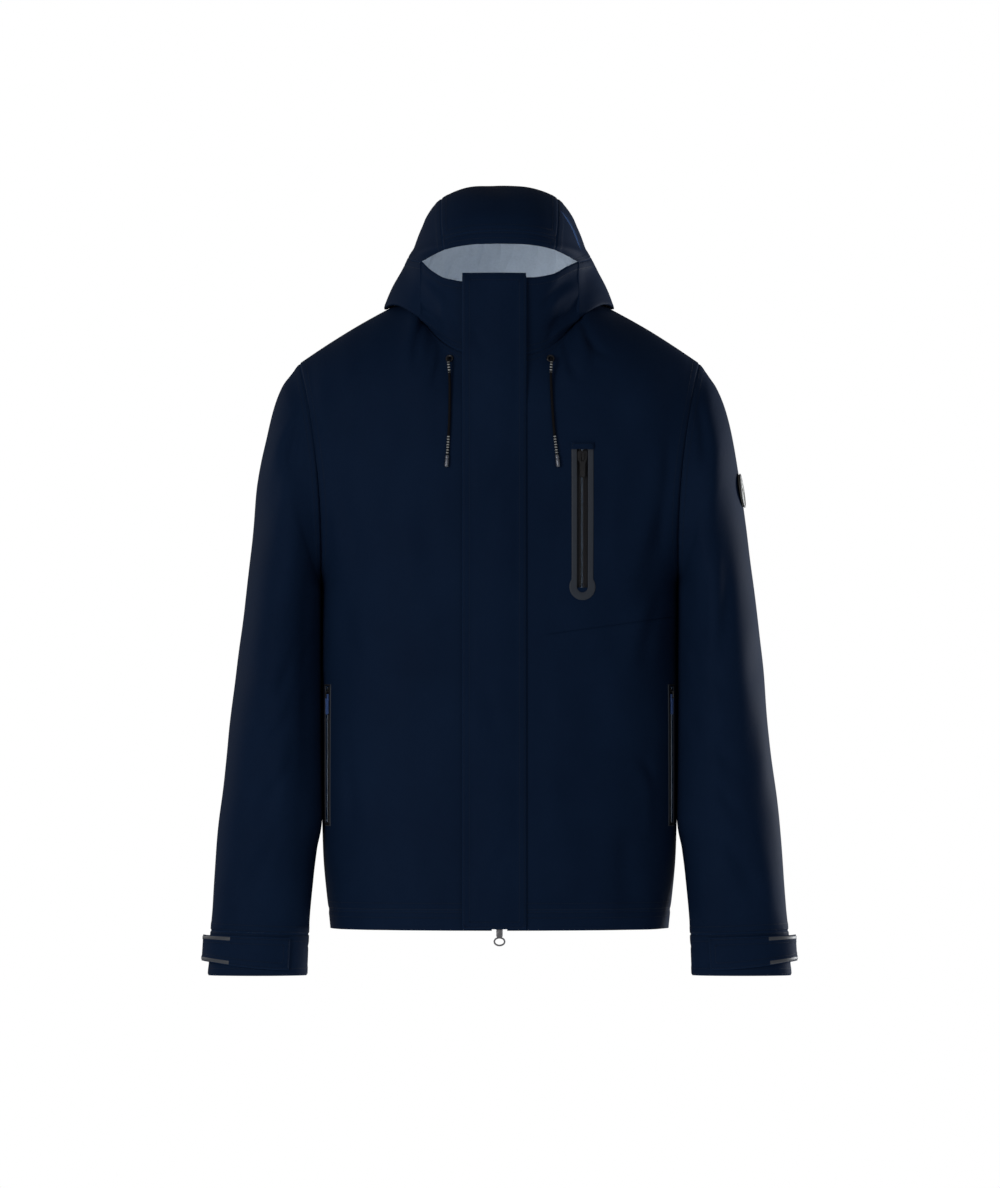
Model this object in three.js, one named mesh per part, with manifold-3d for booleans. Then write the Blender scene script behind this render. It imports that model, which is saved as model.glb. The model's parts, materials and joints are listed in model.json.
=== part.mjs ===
// A hooded foul weather jacket, as worn: arms down, hood up, front zip closed.
// Millimetres, +Z up, the front faces -Y. Pattern heights are measured from the level of the neck point, and
// the finished group is moved so that its origin is the seat of the hang loop, inside the back of the neck.
// "Right" and "left" are the wearer's: right is -X.
import * as THREE from 'three';
import { mergeVertices } from 'three/addons/utils/BufferGeometryUtils.js';
import Module from 'manifold-3d';

const wasm = await Module();
wasm.setup();

// ---- Driving dimensions -------------------------------------------------------------------------------
const CLOTH = 2.0; // shell laminate with its seam allowances
const SEAM = 0.45; // gap kept between two panels along their seam
const FIT = 0.35; // gap kept between stacked pieces

const BODY_LENGTH = 717; // neck point level to hem
const CHEST_HALF = 206; // half the width at the chest
const HEM_HALF = 196;
const SIDE_Y = 5; // plane of the side seams
const BODY_SQUARE = 2.35; // exponent of the body's oval section
const HEM_FRONT = 132; // depth of the front, at the hem
const FRONT_LEAN = 0.04; // the zip line leans back by this much per millimetre of height
const HEM_BACK = 118;

const ARMPIT_Z = -318;
const SHOULDER_X = 232;
const SHOULDER_Z = -62;
const ARMHOLE_HALF_DEPTH = 78;
const ARMHOLE_BOW = 9; // how far the armhole seam bows in towards the chest
const YOKE_Z = -110; // above this height the panels curve over the shoulder

const NECK_HALF = 104;
const NECK_SIDE_Y = 8;
const NECK_SIDE_Z = 14;
const NECK_FRONT_Z = -54;
const NECK_BACK_Y = 82;
const NECK_BACK_Z = 22;
const NECK_SHARE = 0.36; // share of a panel's top edge that is neck seam

const SLEEVE_DROP = 709; // shoulder point to cuff edge
const BICEPS_HALF_DEPTH = 84;
const CUFF_HALF_DEPTH = 38;
const CUFF_FORWARD = 34; // the forearm comes forward by this much
const CUFF_BAND = 52;

const COLLAR_TOP_RIGHT = 31; // height of the collar's top edge beside the zip
const COLLAR_TOP_LEFT = 36;
const FLAP_TOP = 41;
const FACE_CORNER_AZ = 55; // where the collar's edge meets the hood's, in degrees from the front
const FACE_CORNER_EL = 7.5;
const HOOD_CENTRE_Z = 40;

const FLAP_HINGE_X = 31; // sewn edge of the storm flap
const FLAP_FREE_X = -43;
const FLAP_THICK = 2.4;
const FLAP_RISE = 3.9; // height of the flap's inner face over the zip
const ZIP_SLOT_HALF = 9; // half the gap between the two fronts

const CHEST_ZIP = { x: 95.7, top: -159, length: 166 };
const HAND_ZIP = { x: 199, top: -434, length: 164 };
const ZIP_OPENING_HALF = 6.4; // half the width of a pocket's slot
const WELT_HALF = 12.8;
const WELT_ROUND = 15.5; // radius of the round end of the chest welt
const HAND_WELT_HALF = 9.4;
const WELT_THICK = 0.9;

const CORD_THICK = 3.0;
const BADGE_RADIUS = 20;
const BADGE_HEIGHT = -209;

// ---- Materials ----------------------------------------------------------------------------------------
const finish = (color, roughness, metalness = 0) => (
  new THREE.MeshStandardMaterial({ color, roughness, metalness })
);
const navyShell = finish(0x0e1a2e, 0.75);
const greyLining = finish(0x8d98a6, 0.8);
const greyWelt = finish(0x353b45, 0.55);
const blackTape = finish(0x15161a, 0.6);
const blackPlastic = finish(0x0b0c0e, 0.4);
const gunMetal = finish(0x4a4e57, 0.35, 0.9);
const bluePull = finish(0x2a4f9e, 0.5);
const tipGrey = finish(0x5c5f6e, 0.35);
const badgeRubber = finish(0x8f918b, 0.5);

// ---- Small tools --------------------------------------------------------------------------------------
const rad = THREE.MathUtils.degToRad;
const mix = THREE.MathUtils.lerp;
const ease = THREE.MathUtils.smoothstep;
const V = (x, y, z) => new THREE.Vector3(x, y, z);

// A smooth function through [at, value] pairs that doesn't overshoot.
function profile(keys) {
  const chord = keys.slice(1).map((k, i) => (k[1] - keys[i][1]) / (k[0] - keys[i][0]));
  const slope = keys.map((_, i) => {
    if (i === 0) return chord[0];
    if (i === keys.length - 1) return chord[i - 1];
    const [a, b] = [chord[i - 1], chord[i]];
    return a * b <= 0 ? 0 : (2 * a * b) / (a + b);
  });
  return (at) => {
    const last = keys.length - 2;
    let i = keys.findIndex((k, n) => n > 0 && at <= k[0]) - 1;
    if (i < 0) i = at <= keys[0][0] ? 0 : last;
    const [x0, y0] = keys[i];
    const [x1, y1] = keys[i + 1];
    const h = x1 - x0;
    const t = THREE.MathUtils.clamp((at - x0) / h, 0, 1);
    const [t2, t3] = [t * t, t * t * t];
    return y0 * (2 * t3 - 3 * t2 + 1) + h * slope[i] * (t3 - 2 * t2 + t)
      + y1 * (3 * t2 - 2 * t3) + h * slope[i + 1] * (t3 - t2);
  };
}

function signedVolume(position, index) {
  const [a, b, c] = [V(), V(), V()];
  let sum = 0;
  for (let i = 0; i < index.length; i += 3) {
    a.fromBufferAttribute(position, index[i]);
    b.fromBufferAttribute(position, index[i + 1]);
    c.fromBufferAttribute(position, index[i + 2]);
    sum += a.dot(b.cross(c)) / 6;
  }
  return sum;
}

// Adds two triangles for each four corners, parted along the shorter diagonal.
function quadMaker(points, index) {
  const far = (a, b) => Math.hypot(
    points[3 * a] - points[3 * b], points[3 * a + 1] - points[3 * b + 1], points[3 * a + 2] - points[3 * b + 2],
  );
  return (a, b, c, d) => {
    if (far(a, c) <= far(b, d) + 1e-6) index.push(a, b, c, a, c, d);
    else index.push(b, c, d, b, d, a);
  };
}

// A curved sheet of cloth as a closed solid. place(u, v) gives its outer face, and core is a point on the
// inner side. It starts `under` below that face and is `thick` deep.
function sheetSolid(place, nu, nv, core, { thick = CLOTH, under = 0 } = {}) {
  const step = 1e-3;
  const normalAt = (u, v) => {
    const [u0, u1] = [Math.max(0, u - step), Math.min(1, u + step)];
    const [v0, v1] = [Math.max(0, v - step), Math.min(1, v + step)];
    return place(u1, v).sub(place(u0, v)).cross(place(u, v1).sub(place(u, v0))).normalize();
  };
  const facing = normalAt(0.5, 0.5).dot(place(0.5, 0.5).sub(core)) > 0 ? 1 : -1;
  const points = [];
  for (const depth of [under, under + thick]) {
    for (let j = 0; j <= nv; j++) {
      for (let i = 0; i <= nu; i++) {
        const [u, v] = [i / nu, j / nv];
        const p = place(u, v).addScaledVector(normalAt(u, v), -facing * depth);
        points.push(p.x, p.y, p.z);
      }
    }
  }
  const layer = (nu + 1) * (nv + 1);
  const outer = (i, j) => j * (nu + 1) + i;
  const inner = (i, j) => layer + outer(i, j);
  const index = [];
  const quad = quadMaker(points, index);
  for (let j = 0; j < nv; j++) {
    for (let i = 0; i < nu; i++) {
      quad(outer(i, j), outer(i + 1, j), outer(i + 1, j + 1), outer(i, j + 1));
      quad(inner(i, j), inner(i, j + 1), inner(i + 1, j + 1), inner(i + 1, j));
    }
  }
  for (let i = 0; i < nu; i++) {
    quad(outer(i, 0), inner(i, 0), inner(i + 1, 0), outer(i + 1, 0));
    quad(outer(i + 1, nv), inner(i + 1, nv), inner(i, nv), outer(i, nv));
  }
  for (let j = 0; j < nv; j++) {
    quad(outer(0, j + 1), inner(0, j + 1), inner(0, j), outer(0, j));
    quad(outer(nu, j), inner(nu, j), inner(nu, j + 1), outer(nu, j + 1));
  }
  return closed(points, index);
}

// A tube of cloth: place(u, v) runs round with u and along with v.
function tubeSolid(place, nu, nv, centre, thick = CLOTH) {
  const points = [];
  for (const depth of [0, thick]) {
    for (let j = 0; j <= nv; j++) {
      for (let i = 0; i < nu; i++) {
        const p = place(i / nu, j / nv);
        const c = centre(j / nv);
        p.addScaledVector(c.sub(p).normalize(), depth);
        points.push(p.x, p.y, p.z);
      }
    }
  }
  const layer = nu * (nv + 1);
  const outer = (i, j) => j * nu + (i % nu);
  const inner = (i, j) => layer + outer(i, j);
  const index = [];
  const quad = quadMaker(points, index);
  for (let i = 0; i < nu; i++) {
    for (let j = 0; j < nv; j++) {
      quad(outer(i, j), outer(i + 1, j), outer(i + 1, j + 1), outer(i, j + 1));
      quad(inner(i, j), inner(i, j + 1), inner(i + 1, j + 1), inner(i + 1, j));
    }
    quad(outer(i, 0), inner(i, 0), inner(i + 1, 0), outer(i + 1, 0));
    quad(outer(i + 1, nv), inner(i + 1, nv), inner(i, nv), outer(i, nv));
  }
  return closed(points, index);
}

function closed(points, index) {
  const geometry = new THREE.BufferGeometry();
  geometry.setAttribute('position', new THREE.Float32BufferAttribute(points, 3));
  if (signedVolume(geometry.attributes.position, index) < 0) index.reverse();
  geometry.setIndex(index);
  return geometry;
}

function toManifold(geometry) {
  const bare = geometry.clone();
  bare.deleteAttribute('normal');
  bare.deleteAttribute('uv');
  const merged = mergeVertices(bare, 1e-4);
  return new wasm.Manifold(new wasm.Mesh({
    numProp: 3,
    vertProperties: new Float32Array(merged.attributes.position.array),
    triVerts: new Uint32Array(merged.index.array),
  }));
}

function fromManifold(solid) {
  const mesh = solid.getMesh();
  const geometry = new THREE.BufferGeometry();
  geometry.setAttribute('position', new THREE.Float32BufferAttribute(mesh.vertProperties, 3));
  geometry.setIndex([...mesh.triVerts]);
  return geometry;
}

const cut = (geometry, ...tools) => fromManifold(
  tools.reduce((left, tool) => left.subtract(toManifold(tool)), toManifold(geometry)),
);
const join = (first, ...more) => fromManifold(
  more.reduce((sum, piece) => sum.add(toManifold(piece)), toManifold(first)),
);

// A box given by its limits along each axis.
function block([x0, x1], [y0, y1], [z0, z1]) {
  const box = new THREE.BoxGeometry(x1 - x0, y1 - y0, z1 - z0);
  return box.translate((x0 + x1) / 2, (y0 + y1) / 2, (z0 + z1) / 2);
}

// A plate whose outline is drawn in X and Z, standing out towards -Y from y0 to y1.
function plate(shape, y0, y1, steps = 10) {
  const flat = new THREE.ExtrudeGeometry(shape, { depth: y1 - y0, bevelEnabled: false, curveSegments: steps });
  return flat.rotateX(Math.PI / 2).translate(0, y1, 0);
}

const jacket = new THREE.Group();
function add(name, geometry, material, parent = jacket) {
  const mesh = new THREE.Mesh(geometry, material);
  mesh.name = name;
  parent.add(mesh);
  return mesh;
}

// ---- The body's surface -------------------------------------------------------------------------------
const hemZ = -BODY_LENGTH;
const armpitX = CHEST_HALF + 1;
const armholeMidZ = (ARMPIT_Z + SHOULDER_Z) / 2;
const armholeHalfHeight = (SHOULDER_Z - ARMPIT_Z) / 2;

const halfWidth = profile([[hemZ, HEM_HALF], [-626, 204.5], [-560, CHEST_HALF], [ARMPIT_Z, armpitX]]);
const backY = profile([
  [hemZ, HEM_BACK], [-600, 116], [-480, 113], [-330, 123], [-200, 129], [YOKE_Z, 125],
]);
const frontY = (z) => -(HEM_FRONT - FRONT_LEAN * (z + BODY_LENGTH));

// The armhole seam at height z: its X, and half its depth front to back.
function armhole(z) {
  const up = THREE.MathUtils.clamp((z - armholeMidZ) / armholeHalfHeight, -1, 1);
  const open = Math.sqrt(1 - up * up);
  return {
    x: mix(armpitX, SHOULDER_X, (up + 1) / 2) - ARMHOLE_BOW * open * open,
    half: ARMHOLE_HALF_DEPTH * open,
  };
}

// The level arc of the front (face -1) or back (face 1) at height z, from the centre line to the side.
function bodyArc(face, z) {
  const depth = Math.abs((face < 0 ? frontY(z) : backY(z)) - SIDE_Y);
  const hole = armhole(z);
  const below = z <= ARMPIT_Z;
  const last = Math.acos(below ? 0 : (hole.half / depth) ** (BODY_SQUARE / 2));
  const fullX = (below ? halfWidth(z) : hole.x) / Math.sin(last) ** (2 / BODY_SQUARE);
  return {
    point: (s) => V(
      fullX * Math.sin(s * last) ** (2 / BODY_SQUARE),
      SIDE_Y + face * depth * Math.max(0, Math.cos(s * last)) ** (2 / BODY_SQUARE),
      z,
    ),
    shareAt: (x) => Math.asin((x / fullX) ** (BODY_SQUARE / 2)) / last,
  };
}

// The neck seam, from the centre line (0) to the neck point at the side (1).
function neckSeam(face, share) {
  const turn = rad(90 * share);
  const [centreY, centreZ] = face < 0
    ? [frontY(NECK_FRONT_Z), NECK_FRONT_Z]
    : [NECK_BACK_Y, NECK_BACK_Z];
  const climb = Math.sin(turn) ** (face < 0 ? 3.2 : 2);
  return V(
    NECK_HALF * Math.sin(turn),
    mix(NECK_SIDE_Y, centreY, Math.cos(turn)),
    mix(centreZ, NECK_SIDE_Z, climb),
  );
}

// The shoulder line, from the neck point to the shoulder point.
const shoulderLine = (share) => V(
  mix(NECK_HALF, SHOULDER_X, share),
  mix(NECK_SIDE_Y, SIDE_Y, share),
  mix(NECK_SIDE_Z, SHOULDER_Z, share) + 3 * Math.sin(Math.PI * share),
);

// The part of a panel that climbs from the yoke line (k 0) to the neck seam or shoulder line (k 1).
function overShoulder(face, s, k) {
  const yoke = bodyArc(face, YOKE_Z);
  const from = yoke.point(s);
  const onNeck = s < NECK_SHARE;
  const to = onNeck ? neckSeam(face, s / NECK_SHARE) : shoulderLine((s - NECK_SHARE) / (1 - NECK_SHARE));
  const turn = rad(onNeck ? mix(40, 90, s / NECK_SHARE) : 90);
  const up = Math.sin(k * turn) / Math.sin(turn);
  const bent = (1 - Math.cos(k * turn)) / (1 - Math.cos(turn));
  const across = mix(up, bent, ease(s, 0, 0.3));
  const p = V(mix(from.x, to.x, across), mix(from.y, to.y, across), mix(from.z, to.z, up));
  const nearArm = ease(s, NECK_SHARE, 1);
  if (nearArm > 0) {
    const hole = armhole(mix(YOKE_Z, SHOULDER_Z, Math.sin(k * Math.PI / 2)));
    const edge = yoke.point(1);
    const bend = 1 - Math.cos(k * Math.PI / 2);
    p.x += nearArm * (hole.x - mix(edge.x, SHOULDER_X, bend));
    p.y += nearArm * (SIDE_Y + face * hole.half - mix(edge.y, SIDE_Y, bend));
  }
  return p;
}

const SHORT_OF_SEAM = 0.999; // the share of its full width that a panel fills, beside its seam's gap

// Share of a panel's rows that lies below the yoke line.
const BELOW_YOKE = 0.7;
function bodyPoint(face, s, v) {
  const p = v <= BELOW_YOKE
    ? bodyArc(face, mix(hemZ, YOKE_Z, v / BELOW_YOKE)).point(Math.abs(s))
    : overShoulder(face, Math.abs(s), (v - BELOW_YOKE) / (1 - BELOW_YOKE));
  if (s < 0) p.x = -p.x;
  return p;
}
const mirrored = (p, side) => (side < 0 ? p.setX(-p.x) : p);
const bodyCore = V(0, SIDE_Y, -420);

// A frame lying on the front at x, from height z0 up to z1: +Z runs up it and -Y stands out of it.
function frontFrame(side, x, z0, z1) {
  const at = (xx, z) => {
    const arc = bodyArc(-1, z);
    return mirrored(arc.point(arc.shareAt(xx)), side);
  };
  const [low, high] = [at(x, z0), at(x, z1)];
  const up = high.clone().sub(low).normalize();
  const across = at(x + 3, (z0 + z1) / 2).sub(at(x - 3, (z0 + z1) / 2)).multiplyScalar(side);
  const back = up.clone().cross(across).normalize();
  across.copy(back.clone().cross(up));
  const group = new THREE.Group();
  group.matrix.makeBasis(across, back, up).setPosition(at(x, z1));
  group.matrix.decompose(group.position, group.quaternion, group.scale);
  group.updateMatrixWorld(true);
  jacket.add(group);
  return group;
}

// ---- Zip parts ----------------------------------------------------------------------------------------
// A slider's frame has its origin where the zip's centre line meets the cloth's outer face.
const TAPE_MID = -(CLOTH + 1.8); // depth of the tapes' middle, inside the cloth
const BEAD_HALF = 1.4; // half the thickness of a row of teeth
const SLIDER = { half: 5.8, long: 13, plate: 1.5 };
const BRIDGE = { half: 1.1, reach: 4.0, wall: 1.1, rise: 3.7 };
const PIVOT_RISE = 1.3; // height of a puller's bar over the slider's top plate
const sliderTop = TAPE_MID + BEAD_HALF + FIT + SLIDER.plate;
const sliderFoot = TAPE_MID - BEAD_HALF - FIT - SLIDER.plate;

// Two plates joined by the post that parts the teeth, with the bridge that carries the puller.
function sliderSolid() {
  const { half, long, plate: wall } = SLIDER;
  const outline = (w) => {
    const s = new THREE.Shape();
    s.moveTo(-w * 0.62, -long / 2);
    s.lineTo(w * 0.62, -long / 2);
    s.quadraticCurveTo(w, -long / 4, w, 0);
    s.lineTo(w, long / 2 - 1.5);
    s.quadraticCurveTo(w, long / 2, w - 1.5, long / 2);
    s.lineTo(-w + 1.5, long / 2);
    s.quadraticCurveTo(-w, long / 2, -w, long / 2 - 1.5);
    s.lineTo(-w, 0);
    s.quadraticCurveTo(-w, -long / 4, -w * 0.62, -long / 2);
    return s;
  };
  const top = plate(outline(half), -sliderTop, -sliderTop + wall, 4);
  const foot = plate(outline(half), -sliderFoot - wall, -sliderFoot, 4);
  const post = block(
    [-0.45, 0.45],
    [-sliderTop + wall / 2, -sliderFoot - wall / 2],
    [-long / 2 + 2, long / 2 - 1],
  );
  const { reach, wall: leg, rise, half: b } = BRIDGE;
  const arch = cut(
    block([-b, b], [-sliderTop - rise, -sliderTop + wall / 2], [-reach, reach]),
    block([-b - 1, b + 1], [-sliderTop - rise + leg, -sliderTop], [-reach + leg, reach - leg]),
  );
  return join(top, foot, post, arch);
}

const pullerPivotY = -(sliderTop + PIVOT_RISE); // the bar's place in a slider's frame

// A puller that hangs from its bar: two arms, a waist and a tongue. Its frame's origin is on the bar.
function pullerSolid({ long, wide, thick = 1.5, ring }) {
  const arms = 6.2;
  const outline = new THREE.Shape();
  outline.moveTo(-3.3, 0.6);
  outline.lineTo(3.3, 0.6);
  outline.lineTo(3.3, -arms);
  outline.lineTo(wide / 2, -arms - 2.5);
  outline.lineTo(wide / 2, -long + wide / 2);
  outline.absarc(0, -long + wide / 2, wide / 2, 0, -Math.PI, true);
  outline.lineTo(-wide / 2, -arms - 2.5);
  outline.lineTo(-3.3, -arms);
  outline.lineTo(-3.3, 0.6);
  const window = new THREE.Path();
  window.moveTo(-1.9, -0.6);
  window.lineTo(-1.9, -arms + 0.8);
  window.lineTo(1.9, -arms + 0.8);
  window.lineTo(1.9, -0.6);
  window.lineTo(-1.9, -0.6);
  outline.holes.push(window);
  const tongue = plate(outline, -thick / 2, thick / 2, 6);
  if (!ring) return tongue;
  const loop = new THREE.Shape();
  loop.absellipse(0, -long - ring.high / 2 + 2, ring.wide / 2, ring.high / 2, 0, Math.PI * 2);
  const eye = new THREE.Path();
  eye.absellipse(0, -long - ring.high / 2 + 2, ring.wide / 2 - 2, ring.high / 2 - 2, 0, Math.PI * 2, true);
  loop.holes.push(eye);
  return join(tongue, plate(loop, -thick / 2 - 0.3, thick / 2 + 0.3, 8));
}

function addSlider(name, frame, down, pull, material = blackPlastic, pullMaterial = blackPlastic) {
  const holder = new THREE.Group();
  holder.position.set(0, 0, -down);
  frame.add(holder);
  add(`${name}_slider`, sliderSolid(), material, holder);
  const hung = new THREE.Group();
  hung.position.set(0, pullerPivotY, 0);
  holder.add(hung);
  add(`${name}_puller`, pullerSolid(pull), pullMaterial, hung);
}

// ---- Body panels --------------------------------------------------------------------------------------
function pocketSlot(zip) {
  const half = ZIP_OPENING_HALF;
  return block([-half, half], [-8, 12], [-zip.length + 3, -3]);
}

// Moves a geometry from a frame on the body into the jacket's own frame.
const inFrame = (frame, geometry) => geometry.applyMatrix4(frame.matrix);

const FRONT_GRID = [12, 16]; // columns and rows of facets of a front panel, and of what lies on it

// A layer of this thickness lying over a front panel, and the piece cut from it by an upright prism.
const overFront = (side, above, thick) => (
  sheetSolid(frontPlace(side), ...FRONT_GRID, bodyCore, { thick, under: -above - thick })
);
const clip = (prism, layer) => fromManifold(toManifold(prism).intersect(toManifold(layer)));

const chestFrame = frontFrame(1, CHEST_ZIP.x, CHEST_ZIP.top - CHEST_ZIP.length, CHEST_ZIP.top);
const handFrames = [-1, 1].map(
  (side) => frontFrame(side, HAND_ZIP.x, HAND_ZIP.top - HAND_ZIP.length, HAND_ZIP.top),
);

// The front's surface from the zip slot (u 0) to the side (u 1), and from the hem (v 0) to the top (v 1).
const neckEdgeShare = NECK_SHARE * Math.asin(ZIP_SLOT_HALF / NECK_HALF) / (Math.PI / 2);
const frontPlace = (side) => (u, v) => {
  const z = mix(hemZ, YOKE_Z, Math.min(v / BELOW_YOKE, 1));
  const climb = Math.max(0, (v - BELOW_YOKE) / (1 - BELOW_YOKE));
  const start = mix(bodyArc(-1, z).shareAt(ZIP_SLOT_HALF), neckEdgeShare, climb);
  return mirrored(bodyPoint(-1, mix(start, SHORT_OF_SEAM, u ** 1.2), v), side);
};

// A point of the front at x and z.
function frontAt(x, z) {
  const reach = Math.abs(x);
  if (z <= YOKE_Z) {
    const arc = bodyArc(-1, z);
    return mirrored(arc.point(arc.shareAt(reach)), x);
  }
  let s = bodyArc(-1, YOKE_Z).shareAt(reach);
  let k = (z - YOKE_Z) / (NECK_FRONT_Z - YOKE_Z) / 2;
  for (let i = 0; i < 30; i++) {
    const p = overShoulder(-1, s, k);
    s += (reach - p.x) / 280;
    k += (z - p.z) / 100;
  }
  return mirrored(overShoulder(-1, s, k), x);
}
function frontNormal(x, z) {
  const across = frontAt(x + 1, z).sub(frontAt(x - 1, z));
  const up = frontAt(x, z + 1).sub(frontAt(x, z - 1));
  return across.cross(up).normalize();
}

function frontPanel(side) {
  const panel = sheetSolid(frontPlace(side), ...FRONT_GRID, bodyCore);
  const slots = [inFrame(handFrames[side < 0 ? 0 : 1], pocketSlot(HAND_ZIP))];
  if (side > 0) slots.push(inFrame(chestFrame, pocketSlot(CHEST_ZIP)));
  return cut(panel, ...slots);
}
add('right_front_panel', frontPanel(-1), navyShell);
add('left_front_panel', frontPanel(1), navyShell);
const backPlace = (u, v) => bodyPoint(1, mix(-SHORT_OF_SEAM, SHORT_OF_SEAM, u), mix(0, SHORT_OF_SEAM, v));
add('back_panel', sheetSolid(backPlace, 22, 16, bodyCore), navyShell);

// ---- Sleeves ------------------------------------------------------------------------------------------
// Stations down a sleeve: share of the drop outside, X outside past the shoulder point, share of the
// underarm, X inside past the armpit, half depth and forward set.
const cuffForwardAt = (share) => CUFF_FORWARD * ease(share, 0.35, 1);
const outsideX = profile([
  [0, 0], [0.037, 20], [0.096, 34], [0.17, 44], [0.265, 54], [0.37, 64], [0.57, 79],
  [0.76, 93], [0.89, 101], [0.96, 104], [1, 106],
]);
const insideX = profile([[0, 0.6], [0.12, 1.8], [0.5, 2.0], [0.62, 2.4], [0.74, 8], [0.86, 13], [1, 16]]);
const sleeveHalfDepth = profile([
  [0, ARMHOLE_HALF_DEPTH], [0.14, BICEPS_HALF_DEPTH], [0.4, BICEPS_HALF_DEPTH - 2],
  [0.62, 66], [0.8, 50], [0.93, 41], [1, CUFF_HALF_DEPTH],
]);
const underarmShare = profile([[0, 0], [0.3, 0.04], [0.42, 0.14], [0.55, 0.35], [1, 1]]);
const cuffZ = SHOULDER_Z - SLEEVE_DROP;

// The ring of a sleeve at share t of its length.
function sleeveRing(t) {
  const inner = underarmShare(t);
  const outside = V(SHOULDER_X + outsideX(t), 0, SHOULDER_Z - t * SLEEVE_DROP);
  const inside = V(armpitX + insideX(inner), 0, mix(ARMPIT_Z, cuffZ, inner));
  return { outside, inside, half: sleeveHalfDepth(t), midY: SIDE_Y - cuffForwardAt(t) };
}

// turn 0 is the outside of the sleeve, 90 its front and 180 its inside.
function sleevePoint(side, turn, t) {
  const { outside, inside, half, midY } = sleeveRing(t);
  const p = outside.clone().add(inside).multiplyScalar(0.5);
  p.addScaledVector(outside.clone().sub(inside), Math.cos(rad(turn)) / 2);
  const deep = Math.sin(rad(turn));
  p.y = midY - half * deep;
  p.x -= ARMHOLE_BOW * deep * deep * (1 - ease(t, 0, 0.1));
  return mirrored(p, side);
}
const sleeveMiddle = (side, t) => {
  const { outside, inside, midY } = sleeveRing(t);
  return mirrored(outside.add(inside).multiplyScalar(0.5).setY(midY), side);
};
const UPPER_HALF_TURN = 118; // the upper sleeve reaches this far round from the outside
const cuffStart = 1 - CUFF_BAND / SLEEVE_DROP;
const sleeveStart = SEAM / SLEEVE_DROP;
const sleeveEnd = cuffStart - SEAM / SLEEVE_DROP;

function addSleeve(side, name) {
  const core = sleeveMiddle(side, 0.5);
  const [upper, seam] = [UPPER_HALF_TURN, 0.25];
  const along = (v) => mix(sleeveStart, sleeveEnd, v ** 1.25);
  const panel = (from, to) => (u, v) => sleevePoint(side, mix(from, to, u), along(v));
  add(`${name}_sleeve_upper`, sheetSolid(panel(-upper, upper), 14, 14, core), navyShell);
  add(`${name}_sleeve_under`, sheetSolid(panel(upper + seam, 360 - upper - seam), 7, 14, core), navyShell);
  const down = (v) => mix(cuffStart, 1, v);
  const ring = (u, v) => sleevePoint(side, 360 * u, down(v));
  add(`${name}_cuff`, tubeSolid(ring, 24, 2, (v) => sleeveMiddle(side, down(v))), navyShell);
}
addSleeve(-1, 'right');
addSleeve(1, 'left');

// ---- Cuff tabs ----------------------------------------------------------------------------------------
// A strap is sewn to the front of the cuff, and its loose tab wraps round the outside and grips a loop patch.
// Turns round the cuff in degrees, heights above its edge, and how far the tab stands off it.
const TAB = { sewn: 128, bend: 44, end: -6, tip: -22, top: 47, foot: 14, rise: 1.3, flare: 6.5 };
const LOOP_PATCH = { from: 40, to: 8, foot: 22, top: 40, thick: 0.6, rise: 0.95 };
const TAB_SEAM = 0.6; // parting between strap and tab, in degrees round the cuff
const tabRise = (turn) => TAB.rise + TAB.flare * ease(-turn, -50, 25);
function clearOfCuff(side, turn, t, rise) {
  const p = sleevePoint(side, turn, t);
  const out = p.clone().sub(sleeveMiddle(side, t)).setZ(0);
  const { half } = sleeveRing(t);
  out.set(out.x / 3300, out.y / (half * half), 0).normalize();
  return p.addScaledVector(out, rise);
}
const heightOnCuff = (above) => 1 - above / SLEEVE_DROP;

function addCuffTab(side, name) {
  const core = sleeveMiddle(side, 0.97);
  const part = (from, to) => (u, v) => {
    const turn = mix(from, to, u);
    const foot = TAB.foot + mix(-7, 3, ease(-turn, -TAB.sewn, -TAB.end)) + 3 * ease(-turn, -TAB.end, -TAB.tip);
    const top = TAB.top - 3 * ease(-turn, -TAB.end, -TAB.tip);
    return clearOfCuff(side, turn, heightOnCuff(mix(foot, top, v)), tabRise(turn) + CLOTH);
  };
  add(`${name}_cuff_strap`, sheetSolid(part(TAB.sewn, TAB.bend + TAB_SEAM), 8, 2, core), navyShell);
  add(`${name}_cuff_tab`, sheetSolid(part(TAB.bend, TAB.end + TAB_SEAM), 6, 2, core), navyShell);
  add(`${name}_cuff_tab_end`, sheetSolid(part(TAB.end, TAB.tip), 3, 2, core), greyWelt);
  const { from, to, foot, top, thick, rise } = LOOP_PATCH;
  const patch = (u, v) => clearOfCuff(side, mix(from, to, u), heightOnCuff(mix(foot, top, v)), rise);
  add(`${name}_cuff_loop_patch`, sheetSolid(patch, 5, 1, core, { thick }), blackTape);
}
addCuffTab(-1, 'right');
addCuffTab(1, 'left');

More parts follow.
